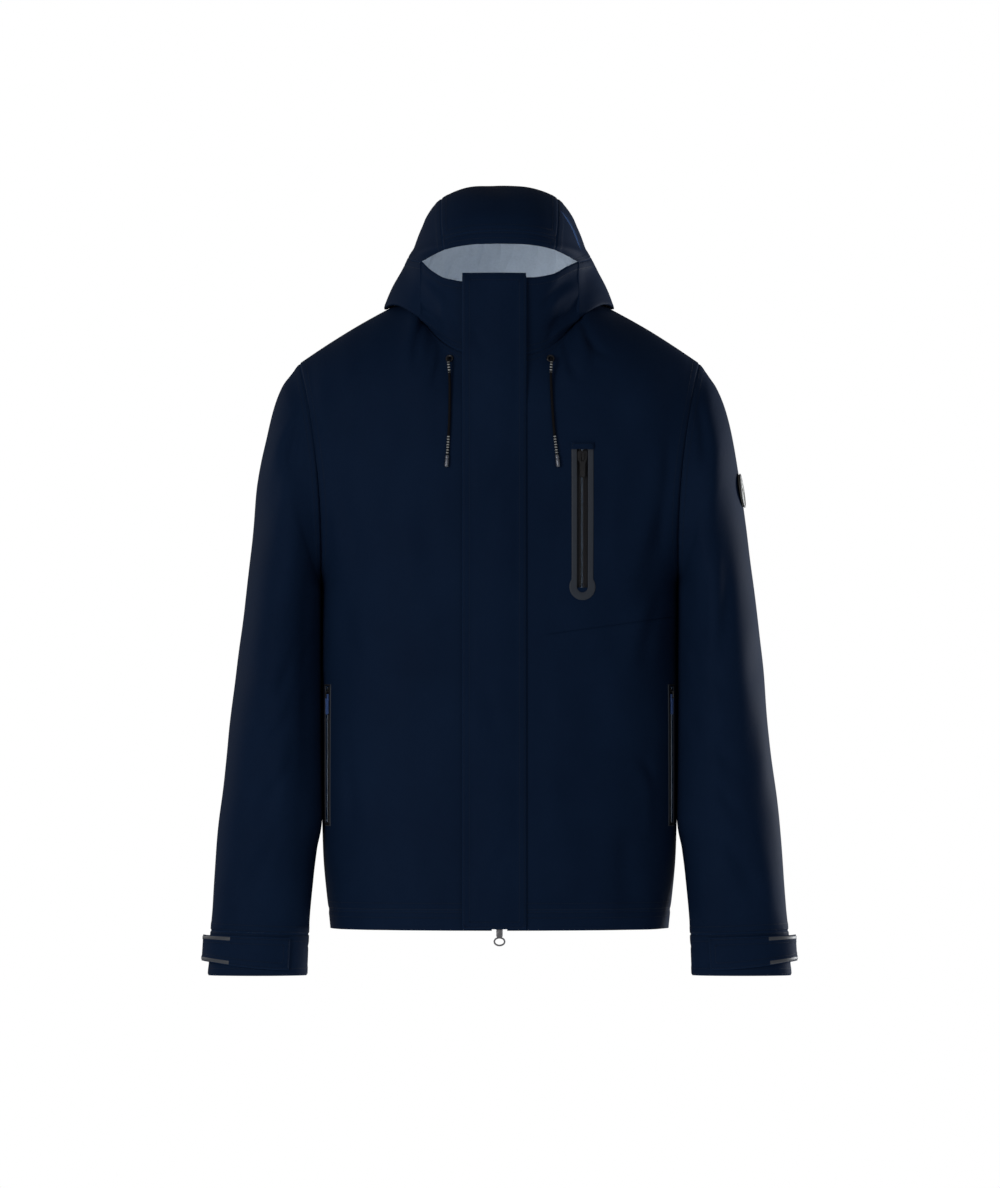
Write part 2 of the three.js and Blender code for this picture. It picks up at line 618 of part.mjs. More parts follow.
// ---- Collar and hood ----------------------------------------------------------------------------------
// The hood is drawn by its distance from a point inside it, by azimuth (0 front, 180 back) and elevation.
const hoodFront = profile([
  [0, 104], [7.5, 107], [14.7, 134.4], [26, 136], [39, 129], [58, 115], [75, 107], [90, 104],
]);
const hoodSide = profile([
  [0, 116], [7, 111], [19, 104.5], [31, 106], [39, 109], [50, 111.5], [63, 109], [75, 105.5], [90, 104],
]);
const hoodBack = profile([
  [-13, 86], [-8, 101], [5, 125], [17, 134], [35, 129], [58, 115], [75, 107], [90, 104],
]);
const HOOD_SQUARE = 2.2;
function hoodPoint(direction) {
  const d = direction.clone().normalize();
  const el = THREE.MathUtils.radToDeg(Math.asin(d.z));
  const level = Math.hypot(d.x, d.y) || 1e-9;
  const ends = (d.y < 0 ? hoodFront : hoodBack)(el);
  const reach = ((Math.abs(d.y) / level / ends) ** HOOD_SQUARE
    + (Math.abs(d.x) / level / hoodSide(el)) ** HOOD_SQUARE) ** (-1 / HOOD_SQUARE);
  return d.multiplyScalar(reach).add(V(0, 0, HOOD_CENTRE_Z));
}
const heading = (az, el) => V(
  Math.sin(rad(az)) * Math.cos(rad(el)), -Math.cos(rad(az)) * Math.cos(rad(el)), Math.sin(rad(el)),
);
const hoodCore = V(0, 0, HOOD_CENTRE_Z);

// The lowest edge of the part of the hood that tilts, by azimuth. Below it the skirt gathers.
const HOOD_BACK_EL = 27;
const tiltEdge = profile([[FACE_CORNER_AZ, FACE_CORNER_EL], [90, 12], [130, 21], [180, HOOD_BACK_EL]]);

// The centre panel's half width, as an angle, by how far round it is from the front (0) to the back (180).
const crownHalf = profile([[10, 30], [60, 35], [90, 37], [130, 30], [165, 24], [200, 24]]);
const BRIM_EL = 14.7;
const crownHeading = (round, across) => V(
  Math.sin(rad(across)), -Math.cos(rad(across)) * Math.cos(rad(round)), Math.cos(rad(across)) * Math.sin(rad(round)),
);
const crownSeamGap = 0.12;
const azimuthOf = (d) => THREE.MathUtils.radToDeg(Math.atan2(Math.abs(d.x), -d.y));
const elevationOf = (d) => THREE.MathUtils.radToDeg(Math.asin(d.z));

// How far round the centre panel goes at this share of its width, before it meets the tilting part's edge.
function crownEnd(share) {
  let [low, high] = [120, 180];
  for (let i = 0; i < 30; i++) {
    const round = (low + high) / 2;
    const d = crownHeading(round, share * crownHalf(round));
    if (elevationOf(d) > tiltEdge(azimuthOf(d)) + 0.25) low = round;
    else high = round;
  }
  return low;
}
add('hood_crown', sheetSolid((u, v) => {
  const round = mix(BRIM_EL, crownEnd(Math.abs(mix(-1, 1, u))), v);
  return hoodPoint(crownHeading(round, mix(-1, 1, u) * (crownHalf(round) - crownSeamGap)));
}, 12, 16, hoodCore), navyShell);
add('hood_brim_stiffener', sheetSolid((u, v) => {
  const round = mix(BRIM_EL + 1.5, BRIM_EL + 17, v);
  return hoodPoint(crownHeading(round, mix(-1, 1, u) * (crownHalf(round) - 2)));
}, 12, 3, hoodCore, { thick: 1.2, under: CLOTH + 1.9 }), greyLining);

function hoodSidePanel(side) {
  const last = crownEnd(1);
  const backAz = azimuthOf(crownHeading(last, crownHalf(last) + crownSeamGap)) - 1;
  return sheetSolid((u, v) => {
    const round = mix(BRIM_EL, last - 4, u);
    const top = crownHeading(round, crownHalf(round) + crownSeamGap);
    const az = mix(FACE_CORNER_AZ, backAz, u);
    const foot = heading(az, tiltEdge(az) + 0.25);
    return mirrored(hoodPoint(foot.lerp(top, mix(0, 1, v))), side);
  }, 14, 8, hoodCore);
}
add('right_hood_side', hoodSidePanel(-1), navyShell);
add('left_hood_side', hoodSidePanel(1), navyShell);

// The wall from the neck seam (h 0) up to the collar's edge or the tilting hood (h 1). At the sides it
// bulges out over the shoulder before it climbs.
const bulgeOut = profile([[0, 0], [0.1, 29], [0.25, 26], [0.45, 19], [0.7, 9], [1, 0]]);
const bulgeDown = profile([[0, 0], [0.1, 18], [0.25, 16], [0.45, 10], [0.7, 4], [1, 0]]);
const bulgeAt = (az) => ease(az, 40, 88) * (1 - ease(az, 112, 165));
const collarEdge = (low) => profile([[0, low], [20, low], [35, low + 4], [46, low + 13], [FACE_CORNER_AZ, 55]]);
const collarEdges = { '-1': collarEdge(COLLAR_TOP_RIGHT), 1: collarEdge(COLLAR_TOP_LEFT) };
const COLLAR_SIDE = 111;
const NAPE_FULLNESS = 9; // how far the back of the hood swells above the neck seam

function wallTop(side, az) {
  if (az > FACE_CORNER_AZ) return hoodPoint(heading(az, tiltEdge(az) - 0.5));
  const z = collarEdges[side](az);
  const [c, s] = [Math.cos(rad(az)), Math.sin(rad(az))];
  const reach = ((c / -frontY(z)) ** HOOD_SQUARE + (s / COLLAR_SIDE) ** HOOD_SQUARE) ** (-1 / HOOD_SQUARE);
  return V(reach * s, -reach * c, z);
}

function neckWall(side, az, h) {
  const foot = az <= 90 ? neckSeam(-1, az / 90) : neckSeam(1, (180 - az) / 90);
  foot.z += 2.6 * SEAM;
  const p = foot.lerp(wallTop(side, az), h);
  const much = bulgeAt(az);
  p.x += much * bulgeOut(h) * Math.sin(rad(az));
  p.y -= much * bulgeOut(h) * Math.cos(rad(az));
  p.z -= much * bulgeDown(h) * ease(az, 62, 92);
  const nape = NAPE_FULLNESS * Math.sin(Math.PI * h) * ease(az, 100, 150);
  p.x += nape * Math.sin(rad(az));
  p.y -= nape * Math.cos(rad(az));
  return mirrored(p, side);
}

// The azimuth at which the collar's front edge is this far from the centre line.
const azAt = (x, y) => THREE.MathUtils.radToDeg(Math.atan2(x, -y));
function collarPanel(side) {
  return sheetSolid((u, v) => {
    const start = azAt(ZIP_SLOT_HALF, mix(frontY(NECK_FRONT_Z), frontY(0), v));
    const foot = mix(Math.asin(ZIP_SLOT_HALF / NECK_HALF) * 180 / Math.PI, start, v);
    return neckWall(side, mix(foot, FACE_CORNER_AZ - 0.3, u), v);
  }, 8, 8, V(0, 0, 0));
}
add('right_collar', collarPanel(-1), navyShell);
add('left_collar', collarPanel(1), navyShell);
add('hood_skirt', sheetSolid((u, v) => {
  const az = mix(-1, 1, u) * (180 - FACE_CORNER_AZ - 0.15);
  return neckWall(az < 0 ? -1 : 1, 180 - Math.abs(az), v);
}, 24, 8, V(0, 0, 30)), navyShell);

// ---- Front closure ------------------------------------------------------------------------------------
// The closure's frame has +Z along the zip line and its origin on that line at the height of the neck point.
const closure = new THREE.Group();
closure.position.set(0, frontY(0), 0);
closure.rotation.x = -Math.atan(FRONT_LEAN);
jacket.add(closure);
const alongZip = Math.hypot(1, FRONT_LEAN); // length along the zip for each millimetre of height

// A strip of one section, drawn in X and outward height, from height z0 to z1 on the zip line.
function strip(points, z0, z1) {
  const shape = new THREE.Shape(points.map(([x, out]) => new THREE.Vector2(x, -out)));
  return new THREE.ExtrudeGeometry(shape, { depth: (z1 - z0) * alongZip, bevelEnabled: false })
    .translate(0, 0, z0 * alongZip);
}

const zipFoot = hemZ + 3;
const zipHead = COLLAR_TOP_RIGHT - 4;
for (const [side, name] of [[-1, 'right'], [1, 'left']]) {
  const [bead, near, far] = [0.8, 3.0, 13];
  const [low, high] = [TAPE_MID - BEAD_HALF, TAPE_MID + BEAD_HALF];
  const [under, over] = [TAPE_MID - 0.5, TAPE_MID + 0.45];
  const section = [
    [bead, low], [near, low], [near, under], [far, under], [far, over], [near, over], [near, high], [bead, high],
  ];
  const points = side > 0 ? section : section.map(([x, out]) => [-x, out]).reverse();
  add(`main_zip_${name}`, strip(points, zipFoot, zipHead), blackTape, closure);
}

const INNER_FLAP = { half: 24, thick: 1.65 };
const innerFlapTop = sliderFoot - FIT;
const innerFlap = [
  [-INNER_FLAP.half, innerFlapTop - INNER_FLAP.thick], [INNER_FLAP.half, innerFlapTop - INNER_FLAP.thick],
  [INNER_FLAP.half, innerFlapTop], [-INNER_FLAP.half, innerFlapTop],
];
add('inner_wind_flap', strip(innerFlap, hemZ + 6, COLLAR_TOP_RIGHT - 3), greyLining, closure);

const topSliderDown = -(zipHead - 9) * alongZip;
const bottomSliderDown = -(zipFoot + 7) * alongZip;
addSlider('main_zip_top', closure, topSliderDown, { long: 30, wide: 6.4 });
const bottomPull = { long: 19, wide: 7.6, ring: { wide: 14, high: 11 } };
addSlider('main_zip_bottom', closure, bottomSliderDown, bottomPull, gunMetal, gunMetal);

// The storm flap arches over the zip, and is sewn down along its left edge.
function flapSection() {
  const span = [FLAP_HINGE_X, 24, 14, 6, 0, -6, -14, -24, -34, FLAP_FREE_X];
  const rise = [-0.35, 1.2, 2.5, 3.5, FLAP_RISE, 3.7, 3.1, 2.2, 1.6, 1.1];
  const inner = span.map((x, i) => [x, rise[i]]);
  const outer = span.map((x, i) => [x, rise[i] + FLAP_THICK]).reverse();
  return [...inner, ...outer];
}
const flapFoot = hemZ + 1.5;
add('storm_flap', strip(flapSection(), flapFoot, FLAP_TOP), navyShell, closure);
const GRIP_THICK = 0.65;
function gripTape(above) {
  const [x0, x1] = [FLAP_FREE_X + 2, FLAP_FREE_X + 17];
  const [y0, y1] = [above - 0.9, above - 0.25]; // the chest falls away from the zip line
  return [[x0, y0], [x1, y1], [x1, y1 + GRIP_THICK], [x0, y0 + GRIP_THICK]];
}
add('flap_loop_tape', strip(gripTape(FIT), hemZ + 60, YOKE_Z), blackTape, closure);
add('flap_hook_tape', strip(gripTape(2 * FIT + GRIP_THICK), hemZ + 60, YOKE_Z), blackTape, closure);

// ---- Pocket zips --------------------------------------------------------------------------------------
// Both tapes of a pocket zip, joined at the bottom stop, with the slit that the slider's post runs in.
function pocketTape(zip, half) {
  const outline = new THREE.Shape();
  outline.moveTo(-half, 0);
  outline.lineTo(-half, -zip.length);
  outline.lineTo(half, -zip.length);
  outline.lineTo(half, 0);
  outline.lineTo(0.8, 0);
  outline.lineTo(0.8, -zip.length + 8);
  outline.lineTo(-0.8, -zip.length + 8);
  outline.lineTo(-0.8, 0);
  return plate(outline, -TAPE_MID - 0.45, -TAPE_MID + 0.5, 4);
}

// A bonded frame round the slot: straight sides, a square head, and a round or square foot.
function welt(zip, half, round) {
  const outline = new THREE.Shape();
  const foot = -zip.length;
  outline.moveTo(-half, 0);
  if (round) {
    const drop = Math.sqrt(WELT_ROUND ** 2 - half ** 2);
    const centre = foot + 4;
    const from = Math.atan2(drop, -half);
    outline.lineTo(-half, centre + drop);
    outline.absarc(0, centre, WELT_ROUND, from, Math.PI - from, false);
    outline.lineTo(half, 0);
  } else {
    outline.lineTo(-half, foot);
    outline.lineTo(half, foot);
    outline.lineTo(half, 0);
  }
  const slot = new THREE.Path();
  const w = ZIP_OPENING_HALF;
  slot.moveTo(-w, -2);
  slot.lineTo(w, -2);
  slot.lineTo(w, foot + 4);
  if (round) slot.absarc(0, foot + 4, w, 0, -Math.PI, true);
  else slot.lineTo(-w, foot + 4);
  slot.lineTo(-w, -2);
  outline.holes.push(slot);
  return plate(outline, -8, 8, 6);
}

const SLIDER_PARK = 12; // how far below the head of a closed pocket zip its slider stands
function addPocketZip(name, frame, zip, weltHalf, round, pull, pullMaterial) {
  const side = Math.sign(frame.position.x);
  const frameOfSlot = clip(inFrame(frame, welt(zip, weltHalf, round)), overFront(side, FIT, WELT_THICK));
  add(`${name}_zip_welt`, frameOfSlot, greyWelt);
  add(`${name}_zip_tape`, pocketTape(zip, ZIP_OPENING_HALF + 3), blackTape, frame);
  addSlider(`${name}_zip`, frame, SLIDER_PARK, pull, blackPlastic, pullMaterial);
}
addPocketZip('chest', chestFrame, CHEST_ZIP, WELT_HALF, true, { long: 24, wide: 5.6 }, blackPlastic);
const handPull = { long: 23, wide: 5.2, thick: 2 };
addPocketZip('right_hand', handFrames[0], HAND_ZIP, HAND_WELT_HALF, false, handPull, bluePull);
addPocketZip('left_hand', handFrames[1], HAND_ZIP, HAND_WELT_HALF, false, handPull, bluePull);

// The hood that the chest slider parks under.
const GARAGE = { past: 1, foot: -3.5, head: 5, thick: 1.1 }; // past the welt's sides, and along the zip
const garageHalf = WELT_HALF + GARAGE.past;
const garage = inFrame(chestFrame, block([-garageHalf, garageHalf], [-8, 8], [GARAGE.foot, GARAGE.head]));
add('chest_zip_garage', clip(garage, overFront(1, 2 * FIT + WELT_THICK, GARAGE.thick)), navyShell);

// ---- Pocket bags --------------------------------------------------------------------------------------
const BAG_UNDER = CLOTH + 0.95; // how far behind the cloth's outer face a bag lies
const BAG_THICK = 1.4;
const CHEST_BAG = { x: [CHEST_ZIP.x + 12, CHEST_ZIP.x + 72], z: [CHEST_ZIP.top - 187, CHEST_ZIP.top - 7] };
const HAND_BAG = { x: [62, HAND_ZIP.x - 9], z: [HAND_ZIP.top - 242, HAND_ZIP.top - 6] };
function pocketBag(side, { x, z: heights }) {
  return sheetSolid((u, v) => {
    const z = mix(...heights, v);
    const arc = bodyArc(-1, z);
    return mirrored(arc.point(arc.shareAt(mix(...x, u))), side);
  }, 10, 8, bodyCore, { thick: BAG_THICK, under: BAG_UNDER });
}
add('chest_pocket_bag', pocketBag(1, CHEST_BAG), greyLining);
add('right_hand_pocket_bag', pocketBag(-1, HAND_BAG), greyLining);
add('left_hand_pocket_bag', pocketBag(1, HAND_BAG), greyLining);

// ---- Hood cords ---------------------------------------------------------------------------------------
// Each cord leaves an eyelet at the foot of the collar, bends down and lies on the chest.
const EYELET = { radius: 4.6, hole: 2.2, thick: 1.6 };
// Routes as [x, z, height over the chest] of the cord's middle.
const cordRoutes = {
  right: [[-57.4, -58, 2.5], [-57.4, -58.6, 5], [-57.4, -61, 7.4], [-57.4, -65, 8], [-57.4, -71, 6.6],
    [-57.3, -79, 4.6], [-57.2, -90, 3.2], [-57.2, -103, 2.6], [-57.4, -118, 2.4], [-57.8, -132, 2.4],
    [-58.6, -147, 2.4], [-59.4, -160, 2.5], [-60, -169, 2.7]],
  left: [[58.6, -58, 2.5], [58.6, -58.6, 5], [58.6, -61, 7.4], [58.7, -65, 8], [58.8, -71, 6.6],
    [59.1, -79, 4.6], [59.6, -90, 3.2], [60.2, -103, 2.6], [61.1, -118, 2.4], [62.1, -132, 2.4],
    [63.5, -147, 2.4], [65, -160, 2.5], [66, -169, 2.7]],
};
const overChest = (x, z, above) => frontAt(x, z).addScaledVector(frontNormal(x, z), above);
const TIP = { radius: 2.3, long: 14 };

function addCord(name) {
  const points = cordRoutes[name].map((stop) => overChest(...stop));
  const path = new THREE.CatmullRomCurve3(points, false, 'centripetal');
  const section = new THREE.Shape();
  section.absarc(0, 0, CORD_THICK / 2, 0, Math.PI * 2);
  add(`${name}_hood_cord`, new THREE.ExtrudeGeometry(section, {
    steps: 18, curveSegments: 4, bevelEnabled: false, extrudePath: path,
  }), blackTape);
  const end = points.at(-1);
  const way = path.getTangent(1);
  const tip = new THREE.CylinderGeometry(TIP.radius, TIP.radius * 0.8, TIP.long, 10);
  const mesh = add(`${name}_cord_tip`, tip, tipGrey);
  mesh.position.copy(end).addScaledVector(way, TIP.long / 2 + FIT);
  mesh.quaternion.setFromUnitVectors(V(0, -1, 0), way);
  const ring = new THREE.Shape();
  ring.absarc(0, 0, EYELET.radius, 0, Math.PI * 2);
  const hole = new THREE.Path();
  hole.absarc(0, 0, EYELET.hole, 0, Math.PI * 2, true);
  ring.holes.push(hole);
  const eyelet = add(`${name}_cord_eyelet`, plate(ring, -EYELET.thick / 2, EYELET.thick / 2, 8), gunMetal);
  const [x, z] = cordRoutes[name][0];
  eyelet.position.copy(overChest(x, z, 2 * FIT + EYELET.thick / 2));
  eyelet.quaternion.setFromUnitVectors(V(0, -1, 0), frontNormal(x, z));
}
addCord('right');
addCord('left');

// ---- Badge and hang loop ------------------------------------------------------------------------------
function addBadge() {
  const t = (SHOULDER_Z - BADGE_HEIGHT) / SLEEVE_DROP;
  const [low, high] = [sleevePoint(1, 10, t + 0.03), sleevePoint(1, 10, t - 0.03)];
  const up = high.sub(low).normalize();
  const front = sleevePoint(1, 14, t).sub(sleevePoint(1, 6, t)).normalize();
  const out = up.clone().cross(front).normalize();
  if (out.x < 0) out.negate();
  const badge = add('sleeve_badge', new THREE.CylinderGeometry(BADGE_RADIUS, BADGE_RADIUS, 2.4, 28), badgeRubber);
  badge.position.copy(sleevePoint(1, 10, t)).addScaledVector(out, 2.4 / 2 + 0.5);
  badge.quaternion.setFromUnitVectors(V(0, 1, 0), out);
}
addBadge();

// A tape loop inside the back of the neck. A hook or peg bears on the underside of its top run.
const LOOP = { half: 28, tape: 8, thick: 1.6, rise: 13, foot: -4 };
const loopBack = NECK_BACK_Y - 1.95 * CLOTH - 2; // the tape's ends rest on the inside of the curved neck
function hangLoop() {
  const { half, thick, rise, foot } = LOOP;
  const outer = block([-half, half], [0, LOOP.tape], [foot, rise]);
  return cut(outer, block([-half + thick, half - thick], [-1, LOOP.tape + 1], [foot + thick, rise - thick]));
}
const loop = add('hang_loop', hangLoop(), blackTape);
loop.position.set(0, loopBack - LOOP.tape, NECK_BACK_Z);
const loopSeat = V(0, loopBack - LOOP.tape / 2, NECK_BACK_Z + LOOP.rise - LOOP.thick);

// ---- The jacket's own frame ---------------------------------------------------------------------------
jacket.position.copy(loopSeat).negate();
export default jacket;
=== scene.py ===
# A hooded foul weather jacket, in the shape it has when worn: arms down, hood up, front closed.
# Metres, +Z up, the front faces -Y. "Right" and "left" are the wearer's: right is -X.
import json
import math

import bpy
import numpy as np
from mathutils import Matrix, Vector
from mathutils.bvhtree import BVHTree

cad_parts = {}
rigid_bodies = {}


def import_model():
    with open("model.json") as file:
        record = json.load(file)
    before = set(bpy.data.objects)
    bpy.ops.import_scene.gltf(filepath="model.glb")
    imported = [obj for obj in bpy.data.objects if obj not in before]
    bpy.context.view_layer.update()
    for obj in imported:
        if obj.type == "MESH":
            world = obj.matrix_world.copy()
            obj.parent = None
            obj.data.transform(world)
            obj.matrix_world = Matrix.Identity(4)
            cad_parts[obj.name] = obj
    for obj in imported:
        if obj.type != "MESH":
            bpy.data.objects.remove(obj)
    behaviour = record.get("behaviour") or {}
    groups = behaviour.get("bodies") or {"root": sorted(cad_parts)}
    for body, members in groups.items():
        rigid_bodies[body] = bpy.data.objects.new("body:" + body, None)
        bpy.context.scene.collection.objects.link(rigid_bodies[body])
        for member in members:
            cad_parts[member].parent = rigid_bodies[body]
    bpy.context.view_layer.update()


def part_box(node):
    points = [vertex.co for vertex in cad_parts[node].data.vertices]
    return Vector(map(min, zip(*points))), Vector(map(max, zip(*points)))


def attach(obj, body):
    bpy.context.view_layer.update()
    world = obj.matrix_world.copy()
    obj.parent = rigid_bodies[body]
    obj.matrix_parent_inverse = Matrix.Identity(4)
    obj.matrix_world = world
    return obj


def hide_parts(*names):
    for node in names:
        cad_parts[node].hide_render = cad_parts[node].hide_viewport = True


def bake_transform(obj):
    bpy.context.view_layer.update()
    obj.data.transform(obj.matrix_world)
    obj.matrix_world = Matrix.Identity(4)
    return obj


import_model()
bpy.ops.object.select_all(action="DESELECT")

# ---- Camera -------------------------------------------------------------------------------------------
# A long lens, level, at the height of the jacket's middle and square to its front.
LENS = 400.0
FILM = 36.0
VIEW_HEIGHT = 1.378  # how much of the plane through the sleeves fills the frame from top to bottom
SLEEVE_PLANE_Y = -0.085
AIM_X, AIM_Z = 0.0006, -0.3628
camera = bpy.data.objects.new("camera", bpy.data.cameras.new("camera"))
camera.data.lens = LENS
camera.data.sensor_width = FILM
camera.data.clip_end = 60
camera.location = (AIM_X, SLEEVE_PLANE_Y - VIEW_HEIGHT * LENS / FILM, AIM_Z)
camera.rotation_euler = (math.pi / 2, 0, 0)
bpy.context.scene.collection.objects.link(camera)
bpy.context.scene.camera = camera

# ---- Hood cords ---------------------------------------------------------------------------------------
# Two round braided cords adjust the face opening. Each leaves an eyelet at the foot of the collar, hangs
# down the chest and ends in a crimped metal tip. White reflective threads show as dots near both ends.
CORD = 0.003
CORD_ROUTES = {
    "right": [
        (-0.05802, -0.16643, -0.09058), (-0.05862, -0.16893, -0.09036), (-0.05901, -0.17203, -0.09199),
        (-0.05883, -0.17407, -0.09584), (-0.05824, -0.17485, -0.10238), (-0.05766, -0.17552, -0.1111),
        (-0.05734, -0.17726, -0.12262), (-0.05732, -0.1796, -0.13591), (-0.05755, -0.18103, -0.15129),
        (-0.05794, -0.18162, -0.1653), (-0.05874, -0.18221, -0.1803), (-0.05955, -0.1828, -0.1933),
        (-0.06016, -0.18333, -0.20229),
    ],
    "left": [
        (0.05917, -0.16611, -0.09054), (0.05971, -0.16862, -0.09029), (0.06006, -0.17176, -0.09189),
        (0.05995, -0.17383, -0.09574), (0.0595, -0.17467, -0.10231), (0.05936, -0.17539, -0.11106),
        (0.05969, -0.17717, -0.12261), (0.06031, -0.17947, -0.13592), (0.06126, -0.18078, -0.15129),
        (0.06226, -0.18134, -0.16529), (0.06366, -0.1819, -0.1803), (0.06517, -0.18244, -0.1933),
        (0.06619, -0.18294, -0.20229),
    ],
}


def along(points, count):
    """Evenly spaced points on a smooth curve through the given ones."""
    p = np.array(points, float)
    ends = np.vstack([2 * p[0] - p[1], p, 2 * p[-1] - p[-2]])
    fine = []
    for a, b, c, d in zip(ends, ends[1:], ends[2:], ends[3:]):
        for t in np.linspace(0, 1, 12, endpoint=False):
            fine.append(
                0.5 * (2 * b + (c - a) * t + (2 * a - 5 * b + 4 * c - d) * t**2
                       + (3 * b - a - 3 * c + d) * t**3)
            )
    fine = np.array(fine + [p[-1]])
    run = np.concatenate([[0], np.cumsum(np.linalg.norm(np.diff(fine, axis=0), axis=1))])
    at = np.linspace(0, run[-1], count)
    return np.stack([np.interp(at, run, fine[:, k]) for k in range(3)], axis=1), run[-1]


def mesh_piece(name, vertices, faces, materials, maps=None, slots=None, sharp=50):
    """An object from numpy arrays, with a UV map for each entry of maps, given per vertex."""
    mesh = bpy.data.meshes.new(name)
    mesh.from_pydata(np.asarray(vertices).tolist(), [], [list(map(int, f)) for f in faces])
    corner = np.empty(len(mesh.loops), np.int32)
    mesh.loops.foreach_get("vertex_index", corner)
    for map_name, values in (maps or {}).items():
        layer = mesh.uv_layers.new(name=map_name)
        layer.data.foreach_set("uv", np.asarray(values, np.float32)[corner].ravel())
    for material in materials:
        mesh.materials.append(material)
    if slots is not None:
        mesh.polygons.foreach_set("material_index", np.asarray(slots, np.int32))
    mesh.validate()
    piece = bpy.data.objects.new(name, mesh)
    bpy.context.scene.collection.objects.link(piece)
    smooth(piece, sharp)
    return piece


def smooth(piece, degrees):
    """Smooth shading that stays crisp at edges sharper than this."""
    only_active(piece)
    bpy.ops.object.shade_smooth_by_angle(angle=math.radians(degrees))
    piece.select_set(False)


def tube(name, path, radius, sides, material):
    """A round closed tube along the path, with a UV map of metres round and metres along."""
    path = np.asarray(path)
    way = np.gradient(path, axis=0)
    way /= np.linalg.norm(way, axis=1)[:, None]
    side = np.cross(way, (0, 1, 0.2))
    side /= np.linalg.norm(side, axis=1)[:, None]
    other = np.cross(way, side)
    turn = np.linspace(0, 2 * math.pi, sides + 1)
    ring = np.cos(turn)[None, :, None] * side[:, None] + np.sin(turn)[None, :, None] * other[:, None]
    points = path[:, None] + radius * ring
    rows, across = len(path), sides + 1
    run = np.concatenate([[0], np.cumsum(np.linalg.norm(np.diff(path, axis=0), axis=1))])
    uv = np.stack(np.broadcast_arrays(turn[None] * radius, run[:, None]), axis=2).reshape(-1, 2)
    faces = [
        (j * across + i, j * across + i + 1, (j + 1) * across + i + 1, (j + 1) * across + i)
        for j in range(rows - 1) for i in range(sides)
    ]
    vertices = np.vstack([points.reshape(-1, 3), path[:1], path[-1:]])
    uv = np.vstack([uv, [(0, 0), (0, run[-1])]])
    foot, head = len(vertices) - 2, len(vertices) - 1
    faces += [(foot, i + 1, i) for i in range(sides)]
    faces += [(head, (rows - 1) * across + i, (rows - 1) * across + i + 1) for i in range(sides)]
    return mesh_piece(name, vertices, faces, [material], {"Cloth": uv})


def wire(tree, kind, *inputs, out=0, **settings):
    """Adds a shader node, fills its inputs in order (None is left alone) and returns one output."""
    made = tree.nodes.new("ShaderNode" + kind)
    sockets = {}
    for key, value in settings.items():
        if hasattr(made, key):
            setattr(made, key, value)
        else:
            sockets[key.replace("_", " ")] = value
    for key, value in [*enumerate(inputs), *sockets.items()]:
        if isinstance(value, bpy.types.NodeSocket):
            tree.links.new(value, made.inputs[key])
        elif value is not None:
            made.inputs[key].default_value = value
    return made.outputs[out]


def maths(tree, operation, *values):
    return wire(tree, "Math", *values, operation=operation)


def times(tree, *values):
    return maths(tree, "MULTIPLY", *values)


def scaled(tree, *values):
    """The first value times the second, plus the third."""
    return maths(tree, "MULTIPLY_ADD", *values)


def noise(tree, place, *inputs):
    """Fractal noise: scale, detail, roughness and so on, in the node's order."""
    return wire(tree, "TexNoise", place, None, *inputs)


def mapped(tree, name="Cloth"):
    return wire(tree, "UVMap", uv_map=name)


def solid_place(tree):
    """Object coordinates."""
    return wire(tree, "TexCoord", out=3)


def paint(tree, shader, color):
    tree.links.new(color, shader.inputs["Base Color"])


def roughen(tree, shader, value):
    tree.links.new(value, shader.inputs["Roughness"])


def blended(tree, share, first, second):
    """A colour between two others."""
    made = tree.nodes.new("ShaderNodeMix")
    made.data_type = "RGBA"
    for key, value in ((0, share), (6, first), (7, second)):
        if isinstance(value, bpy.types.NodeSocket):
            tree.links.new(value, made.inputs[key])
        else:
            made.inputs[key].default_value = value if key == 0 else (*value[:3], 1)
    return made.outputs[2]


def finish(name, color, roughness, **sockets):
    """A material on a Principled shader, with its tree, whose plain values are set on the shader."""
    material = bpy.data.materials.new(name)
    material.use_nodes = True
    tree = material.node_tree
    shader = tree.nodes["Principled BSDF"]
    shader.inputs["Base Color"].default_value = (*color, 1)
    shader.inputs["Roughness"].default_value = roughness
    material.diffuse_color = (*color, 1)
    for key, value in sockets.items():
        shader.inputs[key.replace("_", " ")].default_value = value
    return material, tree, shader


def raise_surface(tree, shader, height):
    """Bump from a height in metres."""
    bump = wire(tree, "Bump", Strength=1.0, Distance=1.0, Height=height)
    tree.links.new(bump, shader.inputs["Normal"])


